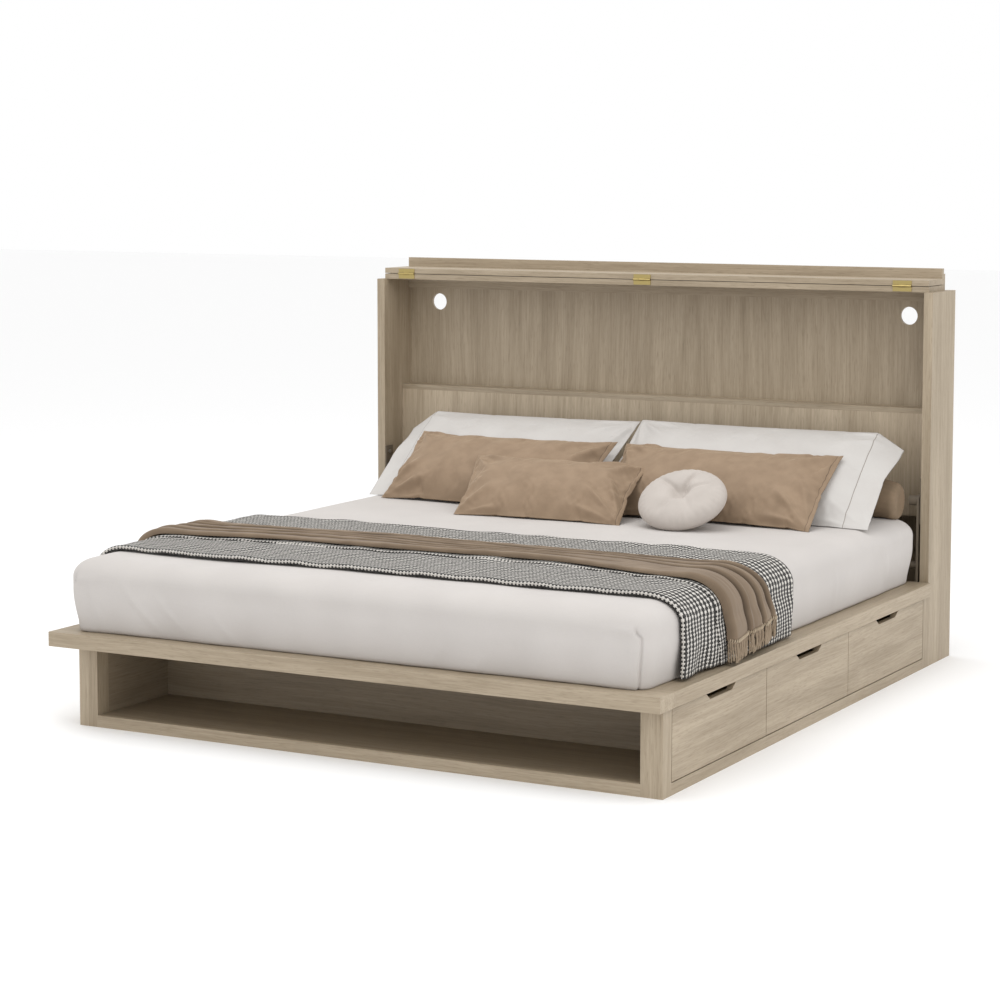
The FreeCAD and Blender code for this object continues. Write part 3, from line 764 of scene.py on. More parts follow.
@dataclass
class MadeMattress:
    """The mattress in its fitted sheet: a soft block that is pulled in at the hem."""

    corner: float = 0.066
    shoulder: tuple[float, float] = (0.085, 0.058)
    tuck: float = 0.017
    hem_round: float = 0.012
    arc_cells: int = 18
    side_cells: int = 150
    seam_flap: float = 0.0060
    flare: float = 0.009
    flare_drop: tuple[float, float] = (0.07, 0.21)
    low: Vector = field(default_factory=lambda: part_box("mattress_cover")[0])
    high: Vector = field(default_factory=lambda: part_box("mattress_cover")[1])

    @property
    def middle(self) -> float:
        """X of the line down the middle of the bed."""
        return (self.low.x + self.high.x) / 2

    @property
    def cells(self) -> int:
        """Cells along each side of the top, with half a corner's arc at both ends."""
        return self.side_cells + 2 * self.arc_cells

    def profile(self, steps_side: int = 26, steps_shoulder: int = 14) -> np.ndarray:
        """Inset and height from the hem to the inner edge of the shoulder.

        The hem is a small quarter circle, the side leans out by the tuck along a smoothstep and then
        stands, and the shoulder is a quarter of an ellipse.

        Args:
            steps_side: Points on the side.
            steps_shoulder: Points on the shoulder.

        Returns:
            (n, 2) inset from the widest outline, and height above the floor.
        """
        wide, deep = self.shoulder
        height = self.high.z - self.low.z
        turn = np.linspace(0, np.pi / 2, 4)
        hem = np.stack(
            [self.tuck + self.hem_round * (1 - np.sin(turn)), self.hem_round * (1 - np.cos(turn))], axis=-1
        )
        rise = np.linspace(self.hem_round, height - deep, steps_side)[1:]
        lean = self.tuck * (1 - smoothstep(rise, 0.0, 0.55 * height))
        side = np.stack([lean, rise], axis=-1)
        turn = np.linspace(0, np.pi / 2, steps_shoulder)[1:]
        top = np.stack([wide * (1 - np.cos(turn)), height - deep + deep * np.sin(turn)], axis=-1)
        outline = np.vstack([hem, side, top])
        outline[:, 1] += self.low.z
        return outline

    def outline(self, inset: float) -> np.ndarray:
        """One rounded rectangle, from the middle of its rear-left corner and anticlockwise from above.

        Each side is half a corner's arc, a straight run and half the next arc.

        Args:
            inset: Distance inwards from the widest outline.

        Returns:
            (4 * cells, 2) places.
        """
        radius = max(self.corner - inset, 0.012)
        x0, x1 = self.low.x + inset, self.high.x - inset
        y0, y1 = self.low.y + inset, self.high.y - inset
        centres = np.array(
            [[x0 + radius, y0 + radius], [x1 - radius, y0 + radius],
             [x1 - radius, y1 - radius], [x0 + radius, y1 - radius]]
        )
        share = np.linspace(0, 1, self.side_cells + 1)
        arc = np.linspace(0, np.pi / 4, self.arc_cells + 1)

        def on_arc(centre: np.ndarray, angles: np.ndarray) -> np.ndarray:
            return centre + radius * np.stack([np.cos(angles), np.sin(angles)], axis=-1)

        parts = []
        for side in range(4):
            heading = side * np.pi / 2 - np.pi / 2
            begin, end = centres[side], centres[(side + 1) % 4]
            first = on_arc(begin, heading - np.pi / 4 + arc)[:-1]
            last = on_arc(end, heading + arc)[1:-1]
            out = radius * np.array([math.cos(heading), math.sin(heading)])
            run = begin + out + share[:, None] * (end - begin)
            parts += [first, run, last]
        return np.vstack(parts)

    def seams(self, points: np.ndarray, normals: np.ndarray) -> np.ndarray:
        """Fold of the fitted corner: the foot's cloth laps over the side's and ends in a sharp edge.

        Along the outline the lap rises over 45 mm towards the seam and drops within 2 mm; above the
        seam's top it fades, and near there the seam steps sideways in a soft S.

        Args:
            points: (rows, columns, 3) surface.
            normals: Outward directions.

        Returns:
            The surface with both foot corners folded.
        """
        x, y, z = points[..., 0], points[..., 1], points[..., 2]
        top = self.high.z - 0.048
        fade = 1 - smoothstep(z, top - 0.012, top + 0.006)
        relief = np.zeros_like(x)
        for side in (-1, 1):
            edge = self.high.x if side > 0 else self.low.x
            along = (side * (x - edge) + (y - self.low.y) + self.corner * 0.3) / math.sqrt(2)
            hook = -0.014 * smoothstep(z, top - 0.030, top - 0.012)
            gap = along - hook + 0.004
            near = np.exp(-((np.minimum(gap, 0) / 0.045) ** 2))
            lap = near * (1 - smoothstep(gap, -0.0008, 0.0020))
            dip = -0.7 * np.exp(-(((gap - 0.004) / 0.004) ** 2))
            here = (np.abs(x - edge) < 0.16) & (y - self.low.y < 0.16)
            relief += np.where(here, (lap + dip) * self.seam_flap * fade, 0.0)
        return points + normals * relief[..., None]

    def wrinkles(self, points: np.ndarray) -> np.ndarray:
        """Relief of the sheet: slack waves on the sides and a few soft creases near the hem.

        Each crease is given by both of its ends, as a distance from a corner of the bed and a height
        above the hem, and by its width and its own height.

        Args:
            points: (rows, columns, 3) surface.

        Returns:
            (rows, columns) heights.
        """
        x, y, z = points[..., 0], points[..., 1], points[..., 2]
        on_side = 1 - smoothstep(z, self.high.z - 0.09, self.high.z - 0.01)
        stretched = np.stack([x, y, z * 0.45], axis=-1)
        relief = 0.0022 * on_side * soft_noise(stretched, 0.16, 3)
        relief += 0.0009 * soft_noise(points, 0.35, 4)
        low = self.low.z
        left, right, foot = self.low.x, self.high.x, self.low.y
        on_foot = 1 - smoothstep(y - foot, 0.03, 0.06)
        on_right = smoothstep(x, right - 0.06, right - 0.03)
        creases = (
            (on_foot, x, left, (
                (0.20, 0.17, 0.34, 0.01, 0.011, 0.0045), (0.31, 0.15, 0.43, 0.02, 0.010, 0.0035),
                (0.09, 0.19, 0.13, 0.00, 0.012, 0.0042), (0.04, 0.16, 0.05, 0.02, 0.009, 0.0035),
                (0.52, 0.10, 0.60, 0.00, 0.010, 0.0026),
            )),
            (on_foot, x, right, (
                (-0.62, 0.09, -0.68, -0.01, 0.010, 0.0030), (-0.50, 0.06, -0.54, -0.01, 0.008, 0.0030),
                (-0.30, 0.12, -0.36, 0.00, 0.012, 0.0024),
            )),
            (on_right, y, foot, (
                (0.07, 0.17, 0.16, 0.02, 0.012, 0.0034), (1.28, 0.16, 1.33, 0.01, 0.012, 0.0036),
                (1.47, 0.12, 1.45, 0.00, 0.010, 0.0026), (1.70, 0.18, 1.78, 0.03, 0.016, 0.0036),
                (1.88, 0.20, 1.86, 0.02, 0.012, 0.0030),
            )),
        )
        for share, along, corner, lines in creases:
            for start, start_up, end, end_up, width, height in lines:
                ends = (corner + start, low + start_up), (corner + end, low + end_up)
                relief += share * Crease(*ends, width, height).relief(along, z)
        return relief

    def skirt(self) -> np.ndarray:
        """The sides, as loops from the hem up to the inner edge of the shoulder.

        The profile is swept round the outlines. The folded corners and the wrinkles then push the
        surface along its normals, which are level at the hem.

        Returns:
            (rows, 4 * cells, 3) places.
        """
        loops = np.stack([
            np.column_stack([self.outline(inset), np.full(4 * self.cells, height)])
            for inset, height in self.profile()
        ])
        wrapped = np.concatenate([loops[:, -1:], loops, loops[:, :1]], axis=1)
        normals = -grid_normals(wrapped)[:, 1:-1]
        loops = self.seams(loops, normals)
        normals[..., 2:] *= smoothstep(loops[..., 2:] - self.low.z, 0.0, 0.03)
        loops = loops + normals * self.wrinkles(loops)[..., None]
        loops[..., 2] = np.maximum(loops[..., 2], self.low.z + 0.0004)
        return loops

    def top(self, ring: np.ndarray) -> np.ndarray:
        """The top, a Coons patch: the blends of opposite edges, less the blend of the corners.

        Args:
            ring: (4 * cells, 3) edge of the patch.

        Returns:
            (cells + 1, cells + 1, 3) places.
        """
        stations = np.arange(self.cells + 1)
        foot, right, head, left = (ring[(k * self.cells + stations) % len(ring)] for k in range(4))
        head, left = head[::-1], left[::-1]
        s = (stations / self.cells)[:, None, None]
        t = (stations / self.cells)[None, :, None]
        patch = (1 - t) * foot[:, None] + t * head[:, None] + (1 - s) * left[None] + s * right[None]
        patch -= (1 - s) * ((1 - t) * foot[0] + t * head[0]) + s * ((1 - t) * foot[-1] + t * head[-1])
        inside = (np.sin(np.pi * s) * np.sin(np.pi * t))[..., 0]
        patch[..., 2] += 0.0012 * inside * soft_noise(patch[..., :2], 0.30, 9)
        return patch

    def patch_numbers(self, edge: int, inner: int) -> np.ndarray:
        """Vertex numbers of a patch that closes one loop.

        Args:
            edge: Number of the loop's first vertex.
            inner: Number of the first vertex within the patch.

        Returns:
            (cells + 1, cells + 1) numbers: left to right, and foot to head.
        """
        cells = self.cells
        stations = np.arange(cells + 1)
        numbers = np.zeros((cells + 1, cells + 1), dtype=np.int64)
        numbers[:, 0] = stations
        numbers[:, -1] = 3 * cells - stations
        numbers[0] = (4 * cells - stations) % (4 * cells)
        numbers[-1] = cells + stations
        numbers += edge
        numbers[1:-1, 1:-1] = inner + np.arange((cells - 1) ** 2).reshape(cells - 1, cells - 1)
        return numbers

    def build(self) -> bpy.types.Object:
        """Close the skirt with its top, and below with straight lines from the foot to the head.

        Returns:
            The mattress.
        """
        skirt = self.skirt()
        rows, around, _ = skirt.shape
        above = self.patch_numbers((rows - 1) * around, rows * around)
        below = self.patch_numbers(0, rows * around + (self.cells - 1) ** 2)
        share = np.linspace(0, 1, self.cells + 1)[None, 1:-1, None]
        under = skirt[0][below[1:-1, :1]] * (1 - share) + skirt[0][below[1:-1, -1:]] * share
        top = self.top(skirt[-1])[1:-1, 1:-1]
        points = np.vstack([part.reshape(-1, 3) for part in (skirt, top, under)])
        faces = np.vstack([ring_faces(rows, around)[:, ::-1], quads(above), quads(below.T)])
        return build_mesh("made_mattress", points, faces)

    def across_the_bed(self, count: int, hem_z: float) -> tuple[np.ndarray, np.ndarray, np.ndarray]:
        """The line that a cloth follows from the left hem, over the bed, to the right hem.

        It is the mattress's own profile, flared outwards a little below the shoulder.

        Args:
            count: Points on the line.
            hem_z: Height at which the cloth ends on both sides.

        Returns:
            (count, 2) places in X and Z, (count, 2) outward directions, and (count,) lengths from the
            middle, negative on the left.
        """
        profile = self.profile(60, 40)
        profile = profile[profile[:, 1] > hem_z]
        half = (self.high.x - self.low.x) / 2
        flat = np.linspace(half - self.shoulder[0], 0, 80)[1:]
        right = np.vstack([
            np.column_stack([half - profile[:, 0], profile[:, 1]]),
            np.column_stack([flat, np.full(len(flat), self.high.z)]),
        ])[::-1]
        steps = np.linalg.norm(np.diff(right, axis=0), axis=1)
        length = np.concatenate([[0], np.cumsum(steps)])
        s = np.linspace(-length[-1], length[-1], count)
        x = np.sign(s) * np.interp(np.abs(s), length, right[:, 0])
        z = np.interp(np.abs(s), length, right[:, 1])
        line = np.column_stack([self.middle + x, z])
        line[:, 0] += self.flare * np.sign(s) * smoothstep(self.high.z - z, *self.flare_drop)
        slope = np.gradient(line, axis=0)
        out = np.column_stack([-slope[:, 1], slope[:, 0]])
        out /= np.linalg.norm(out, axis=1, keepdims=True)
        return line, out, s


@dataclass
class CheckBlanket:
    """The check blanket, folded over itself, that lies across the bed and hangs to the rim.

    The upper layer's edge is a step of height fold, fold_shown in front of the throw. The share of the
    columns between fold_columns is spent on fold_band either side of that edge. The check's pattern
    starts anew at front_start and at layer_start, so that both edges show a whole row of teeth.
    """

    mattress: MadeMattress
    thickness: float = 0.015
    fold: float = 0.005
    fold_shown: float = 0.022
    fold_half: float = 0.0015
    fold_band: float = 0.006
    fold_columns: tuple[float, float] = (0.30, 0.44)
    front_start: float = 0.0145
    layer_start: float = 0.289
    slack: float = 0.0022
    closest: float = 0.0006
    hem_z: float = 0.286
    rows: int = 420
    columns: int = 130

    def edges(self, s: np.ndarray) -> tuple[np.ndarray, np.ndarray, np.ndarray]:
        """Y of the front edge, of the upper layer's edge and of the rear edge along the blanket.

        The outer two follow a soft noise, because the cloth was laid by hand.

        Args:
            s: Length from the middle of the bed.

        Returns:
            The front edge, the upper layer's edge and the rear edge.
        """
        low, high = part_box("check_blanket")
        front = low.y + 0.010 + 0.004 * soft_noise(s[:, None], 0.9, 21, 6)
        rear = high.y - 0.004 + 0.005 * soft_noise(s[:, None], 0.8, 22, 6)
        layer = FringedThrow.edges(s / s[-1])[0] - self.fold_shown
        return front, layer, rear

    def surface(self) -> tuple[np.ndarray, np.ndarray, np.ndarray]:
        """Upper surface: the line over the bed pushed out by the cloth, with slack waves.

        Returns:
            Points, outward directions and cloth coordinates.
        """
        line, out, s = self.mattress.across_the_bed(self.rows, self.hem_z)
        front, layer, rear = (edge[:, None] for edge in self.edges(s))
        t = np.linspace(0, 1, self.columns)[None, :]
        first, last = self.fold_columns
        before = np.clip(t / first, 0, 1)
        over = np.clip((t - first) / (last - first), 0, 1)
        after = np.clip((t - last) / (1 - last), 0, 1)
        band = self.fold_band
        y = front + (layer - band - front) * before + 2 * band * over + (rear - layer - band) * after
        place = np.stack([np.broadcast_to(s[:, None], y.shape), y], axis=-1)
        hanging = smoothstep(np.abs(s), s[-1] - 0.22, s[-1])[:, None]
        edge = 1 - smoothstep(np.minimum(t, 1 - t), 0.0, 0.05)
        lift = self.thickness + self.slack + 0.0011 * soft_noise(place, 0.14, 23)
        lift = lift + hanging * (0.0015 + 0.0030 * soft_noise(place * [0.3, 1.0], 0.16, 24)) + 0.0012 * edge
        lift = np.maximum(lift, self.thickness + self.closest)
        lift = lift + self.fold * smoothstep(y, layer - self.fold_half, layer + self.fold_half)
        v = np.where(y < layer, y - front + self.front_start, y - layer + self.layer_start)
        return *laid(line, out, y, lift), np.stack([place[..., 0], v], axis=-1)

    def build(self) -> bpy.types.Object:
        """Returns:
            The blanket.
        """
        points, normals, uv = self.surface()
        piece = cloth_shell("check_blanket_cloth", points, normals, self.thickness, uv)
        return piece


@dataclass(frozen=True)
class Valley:
    """A furrow between two pleats of the throw.

    left, middle and right are the shares of the width at which its line passes the left hem, the
    middle of the bed and the right hem. deep is its depth as a share of the pleats' height. It fades
    in at start and out at end, which are places along the throw from -1 to 1.
    """

    left: float
    middle: float
    right: float
    deep: float
    start: float
    end: float


@dataclass
class FringedThrow:
    """The brown throw, gathered into pleats over the blanket, with a fringe at both ends."""

    mattress: MadeMattress
    base: float = 0.0240
    thickness: float = 0.0035
    hem_z: float = 0.350
    hem_rise: float = 0.022
    rows: int = 400
    columns: int = 230
    gathered_width: float = 0.28
    pleat: float = 0.013
    valley_half: float = 0.0050
    valley_sides: float = 0.020
    ridge_away: float = 0.013
    ridge_half: float = 0.008
    shade_half: float = 0.0055
    valleys: tuple[Valley, ...] = (
        Valley(0.34, 0.60, 0.34, 1.00, -1.0, 1.0),
        Valley(0.70, 0.84, 0.62, 0.95, -1.0, 1.0),
        Valley(0.80, 0.94, 0.87, 0.85, 0.35, 1.0),
        Valley(0.16, 0.24, 0.32, 0.75, -0.8, 0.45),
        Valley(0.50, 0.42, 0.50, 0.75, -1.0, 0.30),
        Valley(0.86, 0.73, 0.80, 0.60, -1.0, 0.20),
    )
    strands: int = 58
    strand_length: float = 0.062
    strand_radius: float = 0.0031
    strand_rings: int = 15
    stitch_rings: int = 7

    @staticmethod
    def edges(share: np.ndarray) -> tuple[np.ndarray, np.ndarray]:
        """Y of the front and of the rear edge of the gathered throw along the bed.

        One smooth step moves both edges towards the foot on the way to the shoulders, and a second
        one moves them back on the way to the hems.

        Args:
            share: Place along the throw, -1 at the left hem and 1 at the right one.

        Returns:
            The front and the rear edge.
        """
        low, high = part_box("fringed_throw")
        away = np.abs(share)
        spread = smoothstep(away, 0.35, 0.86)
        front = low.y + 0.070 - 0.083 * spread + 0.038 * smoothstep(away, 0.88, 1.0)
        rear = high.y - 0.074 - 0.030 * spread + 0.094 * smoothstep(away, 0.84, 1.0)
        ripple = 0.004 * soft_noise(share[:, None], 0.8, 32, 6)
        return front + ripple, rear - ripple

    def relief(self, s: np.ndarray, t: np.ndarray) -> tuple[np.ndarray, np.ndarray]:
        """Height of the pleats above the blanket, and how deep in a valley each place is, for the painted
        shade in the creases.

        The gathered cloth is as high as a pleat, less the valleys. A valley is a narrow bell of the
        distance from its line and a wide exponential that rounds the pleats on both sides of it, and
        behind it the cloth stands up in a low ridge.

        Args:
            s: (rows, 1) length from the middle.
            t: (1, columns) share of the width.

        Returns:
            (rows, columns) heights, and depths in a valley from 0 to 1, which set the painted shade in the
            creases.
        """
        reach = s[-1, 0]
        share = s / reach
        flat_s, flat_t = np.broadcast_arrays(s, t)
        place = np.stack([flat_s, flat_t * self.gathered_width], axis=-1)
        hanging = smoothstep(np.abs(s), reach - 0.30, reach - 0.08)
        high = self.pleat - 0.005 * flat_t + 0.014 * hanging
        relief = high * (0.86 + 0.10 * soft_noise(place * [0.5, 2.0], 0.30, 33, 8))
        shade = np.zeros_like(relief)
        for number, valley in enumerate(self.valleys):
            side = np.where(share > 0, valley.right, valley.left)
            line = valley.middle + (side - valley.middle) * share**2
            line = line + 0.018 * soft_noise(s, 0.45, 60 + number, 6)[:, None]
            here = smoothstep(share, valley.start - 0.22, valley.start + 0.12)
            here = here * (1 - smoothstep(share, valley.end - 0.12, valley.end + 0.22)) * valley.deep
            behind = (flat_t - line) * self.gathered_width
            away = np.abs(behind)
            crease = 0.66 * np.exp(-((away / self.valley_half) ** 2))
            crease = crease + 0.34 * np.exp(-away / self.valley_sides)
            ridge = 0.30 * np.exp(-(((behind - self.ridge_away) / self.ridge_half) ** 2))
            relief = relief + here * high * (ridge - crease)
            # This shade is painted: it darkens the colour along each valley's line.
            shade = np.maximum(shade, here * np.exp(-((away / self.shade_half) ** 2)))
        relief = np.maximum(relief, 0.0006) + 0.0003 * soft_noise(place * [0.6, 2.4], 0.05, 34)
        to_edge = np.minimum(np.minimum(flat_t, 1 - flat_t) / 0.04, 1)
        return relief * np.sqrt(np.clip(1 - (1 - to_edge) ** 2, 0, 1)), shade

    def surface(self) -> tuple[np.ndarray, np.ndarray, np.ndarray, np.ndarray]:
        """Upper surface over the blanket, with pleats.

        Returns:
            Points, outward directions, cloth coordinates, whose v is the length over the pleats, and
            depths in a valley, which set the painted shade in the creases.
        """
        line, out, s = self.mattress.across_the_bed(self.rows, self.hem_z)
        front, rear = self.edges(s / s[-1])
        t = np.linspace(0, 1, self.columns)[None, :]
        y = front[:, None] * (1 - t) + rear[:, None] * t
        relief, shade = self.relief(s[:, None], t)
        rise = smoothstep(np.abs(s), s[-1] - 0.05, s[-1])[:, None] * self.hem_rise * t
        grid, normals = laid(line, out, y, self.base + self.thickness + relief, rise)
        over = np.linalg.norm(np.diff(grid, axis=1), axis=-1)
        v = np.concatenate([np.zeros((self.rows, 1)), np.cumsum(over, axis=1)], axis=1)
        return grid, normals, np.stack([np.broadcast_to(s[:, None], y.shape), v], axis=-1), shade

    def fringe(self, name: str, hem: np.ndarray, out: float) -> bpy.types.Object:
        """Twisted strands that hang from the hem.

        A strand's radius swells twice a centimetre, as a twisted yarn's does, and its line drifts a
        little sideways as it falls.

        Args:
            name: The piece's name.
            hem: (n, 3) points along the hem.
            out: Sign of X away from the bed.

        Returns:
            The fringe.
        """
        draw = np.random.default_rng(41)
        each = (self.strands, 1)
        length = np.concatenate([[0], np.cumsum(np.linalg.norm(np.diff(hem, axis=0), axis=1))])
        at = np.linspace(0.004, length[-1] - 0.004, self.strands)
        root = np.column_stack([np.interp(at, length, hem[:, k]) for k in range(3)])
        fall = np.linspace(0, 1, self.strand_rings)[None, :]
        long = self.strand_length * draw.uniform(0.93, 1.05, each)
        drift = draw.normal(0, 0.0030, each) * fall**2
        sway = draw.normal(0, 0.0016, each) * np.sin(fall * 4 + draw.uniform(0, 6, each))
        centre = np.stack([
            root[:, :1] + out * (0.0005 + sway), root[:, 1:2] + drift + 0.7 * sway,
            root[:, 2:] + 0.004 - fall * long,
        ], axis=-1)
        twist = draw.uniform(0, 6, each)
        radius = self.strand_radius * (1 + 0.20 * np.sin(2 * np.pi * fall * long / 0.006 + twist))
        radius = radius * np.where(fall > 0.97, 0.5, 1.0)
        place = np.broadcast_arrays(fall * long, np.arange(self.strands)[:, None] * 0.01)
        return tubes(name, centre, radius, np.stack(place, axis=-1), falling=True)

    def stitches(self, name: str, hem: np.ndarray, out: float) -> bpy.types.Object:
        """Slanted whip stitches over the hem, one short swelling tube between each pair of strands.

        Args:
            name: The piece's name.
            hem: (n, 3) points along the hem.
            out: Sign of X away from the bed.

        Returns:
            The stitches.
        """
        length = np.concatenate([[0], np.cumsum(np.linalg.norm(np.diff(hem, axis=0), axis=1))])
        pitch = (length[-1] - 0.008) / self.strands
        at = 0.006 + pitch * np.arange(self.strands - 1)[:, None]
        along = np.linspace(-1, 1, self.stitch_rings)[None, :]
        stations = at + 0.30 * pitch * along
        centre = np.stack([np.interp(stations, length, hem[:, k]) for k in range(3)], axis=-1)
        centre[..., 2] += 0.0055 * along + 0.001
        centre[..., 0] += out * (0.0022 + 0.0014 * (1 - along**2))
        radius = 0.0023 * np.sqrt(np.clip(1 - 0.85 * along**2, 0, 1))
        place = np.broadcast_arrays(stations, 0.003 * along)
        return tubes(
            name, centre, np.broadcast_to(radius, stations.shape), np.stack(place, axis=-1), falling=False
        )

    def build(self) -> list[bpy.types.Object]:
        """Returns:
            The cloth first, then what is on it.
        """
        points, normals, uv, shade = self.surface()
        cloth = cloth_shell("gathered_throw", points, normals, self.thickness, uv)
        # The pleats map carries each place's depth in a valley, which the twill's material turns into
        # painted shade.
        around = len(cloth.data.vertices) // self.rows
        depths = np.zeros((self.rows, around))
        depths[:, : self.columns] = shade
        corners = np.empty(len(cloth.data.loops), dtype=np.int32)
        cloth.data.loops.foreach_get("vertex_index", corners)
        pleats = np.stack([depths.reshape(-1)[corners], np.zeros(len(corners))], axis=-1)
        cloth.data.uv_layers.new(name="pleats").data.foreach_set("uv", pleats.astype(np.float32).reshape(-1))
        yarn, thread = FRINGE_YARN.material(), HEM_THREAD.material()
        extras = []
        for side, row, out in (("left", 0, -1.0), ("right", -1, 1.0)):
            hem = points[row] - normals[row] * self.thickness / 2
            fringe = self.fringe(f"throw_fringe_{side}", hem, out)
            dress(fringe, yarn)
            stitches = self.stitches(f"throw_hem_stitches_{side}", points[row], out)
            dress(stitches, thread)
            extras += [fringe, stitches]
        return [cloth, *extras]


# --------------------------------------------------------------------------------------
# Pillows
# --------------------------------------------------------------------------------------


def refined(grid: np.ndarray, times: int) -> np.ndarray:
    """A finer grid through the same points.

    Each new value is the Catmull-Rom cubic of the four nearest values, down the rows and then across.

    Args:
        grid: (rows, columns, k) values.
        times: Cells that each cell is divided into.

    Returns:
        ((rows - 1) * times + 1, (columns - 1) * times + 1, k) values.
    """

    def weights(count: int) -> np.ndarray:
        at = np.arange((count - 1) * times + 1) / times
        cell = np.minimum(at.astype(int), count - 2)
        u = at - cell
        share = (
            (-u + 2 * u**2 - u**3) / 2, (2 - 5 * u**2 + 3 * u**3) / 2,
            (u + 4 * u**2 - 3 * u**3) / 2, (-(u**2) + u**3) / 2,
        )
        table = np.zeros((len(at), count))
        for step, part in enumerate(share, -1):
            np.add.at(table, (np.arange(len(at)), np.clip(cell + step, 0, count - 1)), part)
        return table

    down, across = weights(grid.shape[0]), weights(grid.shape[1])
    return np.einsum("ai,bj,ijk->abk", down, across, grid, optimize=True)


@dataclass(frozen=True)
class CushionCase:
    """A flat case of two cloths sewn along their edge, which is blown up as cloth."""

    width: float
    height: float
    pressure: float = 4.5
    frames: int = 34
    seed: int = 1
    bending: float = 0.08
    cell: float = 0.0135
    finer: int = 4

    def flat_case(self) -> tuple[np.ndarray, np.ndarray]:
        """Two grids that share their border, a few millimetres apart in the middle.

        Returns:
            (columns, rows, 3) points of the front, and of the back.
        """
        across = np.linspace(-1, 1, int(self.width / self.cell) + 1)
        up = np.linspace(-1, 1, int(self.height / self.cell) + 1)
        x, y = np.meshgrid(across, up, indexing="ij")
        draw = np.random.default_rng(self.seed)
        inside = np.clip((1 - x**2) * (1 - y**2), 0, 1)
        gap = 0.010 * np.sqrt(inside) + draw.normal(0, 0.0006, x.shape) * (inside > 1e-3)
        place = (x * self.width / 2, y * self.height / 2)
        return np.stack([*place, gap], axis=-1), np.stack([*place, -gap], axis=-1)

    @staticmethod
    def sewn(front: np.ndarray, back: np.ndarray) -> tuple[np.ndarray, np.ndarray]:
        """Join two grids of the same size along their border.

        Args:
            front: (columns, rows, 3) points whose faces look towards +Z.
            back: The same for the other side; its border is not used.

        Returns:
            Points and quads of the closed case.
        """
        numbers = np.arange(front[..., 0].size).reshape(front.shape[:2])
        lower = numbers.copy()
        lower[1:-1, 1:-1] = numbers.size + np.arange(lower[1:-1, 1:-1].size).reshape(lower[1:-1, 1:-1].shape)
        points = np.vstack([front.reshape(-1, 3), back[1:-1, 1:-1].reshape(-1, 3)])
        return points, np.vstack([quads(numbers), quads(lower)[:, ::-1]])

    def filled(self) -> tuple[np.ndarray, np.ndarray]:
        """Blow the case up with the cloth solver: pressure inside, no gravity.

        Returns:
            Front and back grids of the filled case, refined.
        """
        front, back = self.flat_case()
        points, faces = self.sewn(front, back)
        case = build_mesh("case", points, faces)
        cloth = case.modifiers.new("fill", "CLOTH")
        settings = cloth.settings
        settings.quality = 6
        settings.mass = 0.25
        settings.tension_stiffness = 25
        settings.compression_stiffness = 2
        settings.shear_stiffness = 5
        settings.bending_stiffness = self.bending
        settings.air_damping = 2
        settings.use_pressure = True
        settings.uniform_pressure_force = self.pressure
        settings.effector_weights.gravity = 0
        cloth.point_cache.frame_start = 1
        cloth.point_cache.frame_end = self.frames
        for number in range(1, self.frames + 1):
            bpy.context.scene.frame_set(number)
        solved = case.evaluated_get(bpy.context.evaluated_depsgraph_get()).data
        moved = np.empty(len(points) * 3, dtype=np.float32)
        solved.vertices.foreach_get("co", moved)
        moved = moved.reshape(-1, 3).astype(float)
        bpy.data.objects.remove(case)
        bpy.context.scene.frame_set(1)
        count = front[..., 0].size
        front = moved[:count].reshape(front.shape)
        back = front.copy()
        back[1:-1, 1:-1] = moved[count:].reshape(back[1:-1, 1:-1].shape)
        return refined(front, self.finer), refined(back, self.finer)


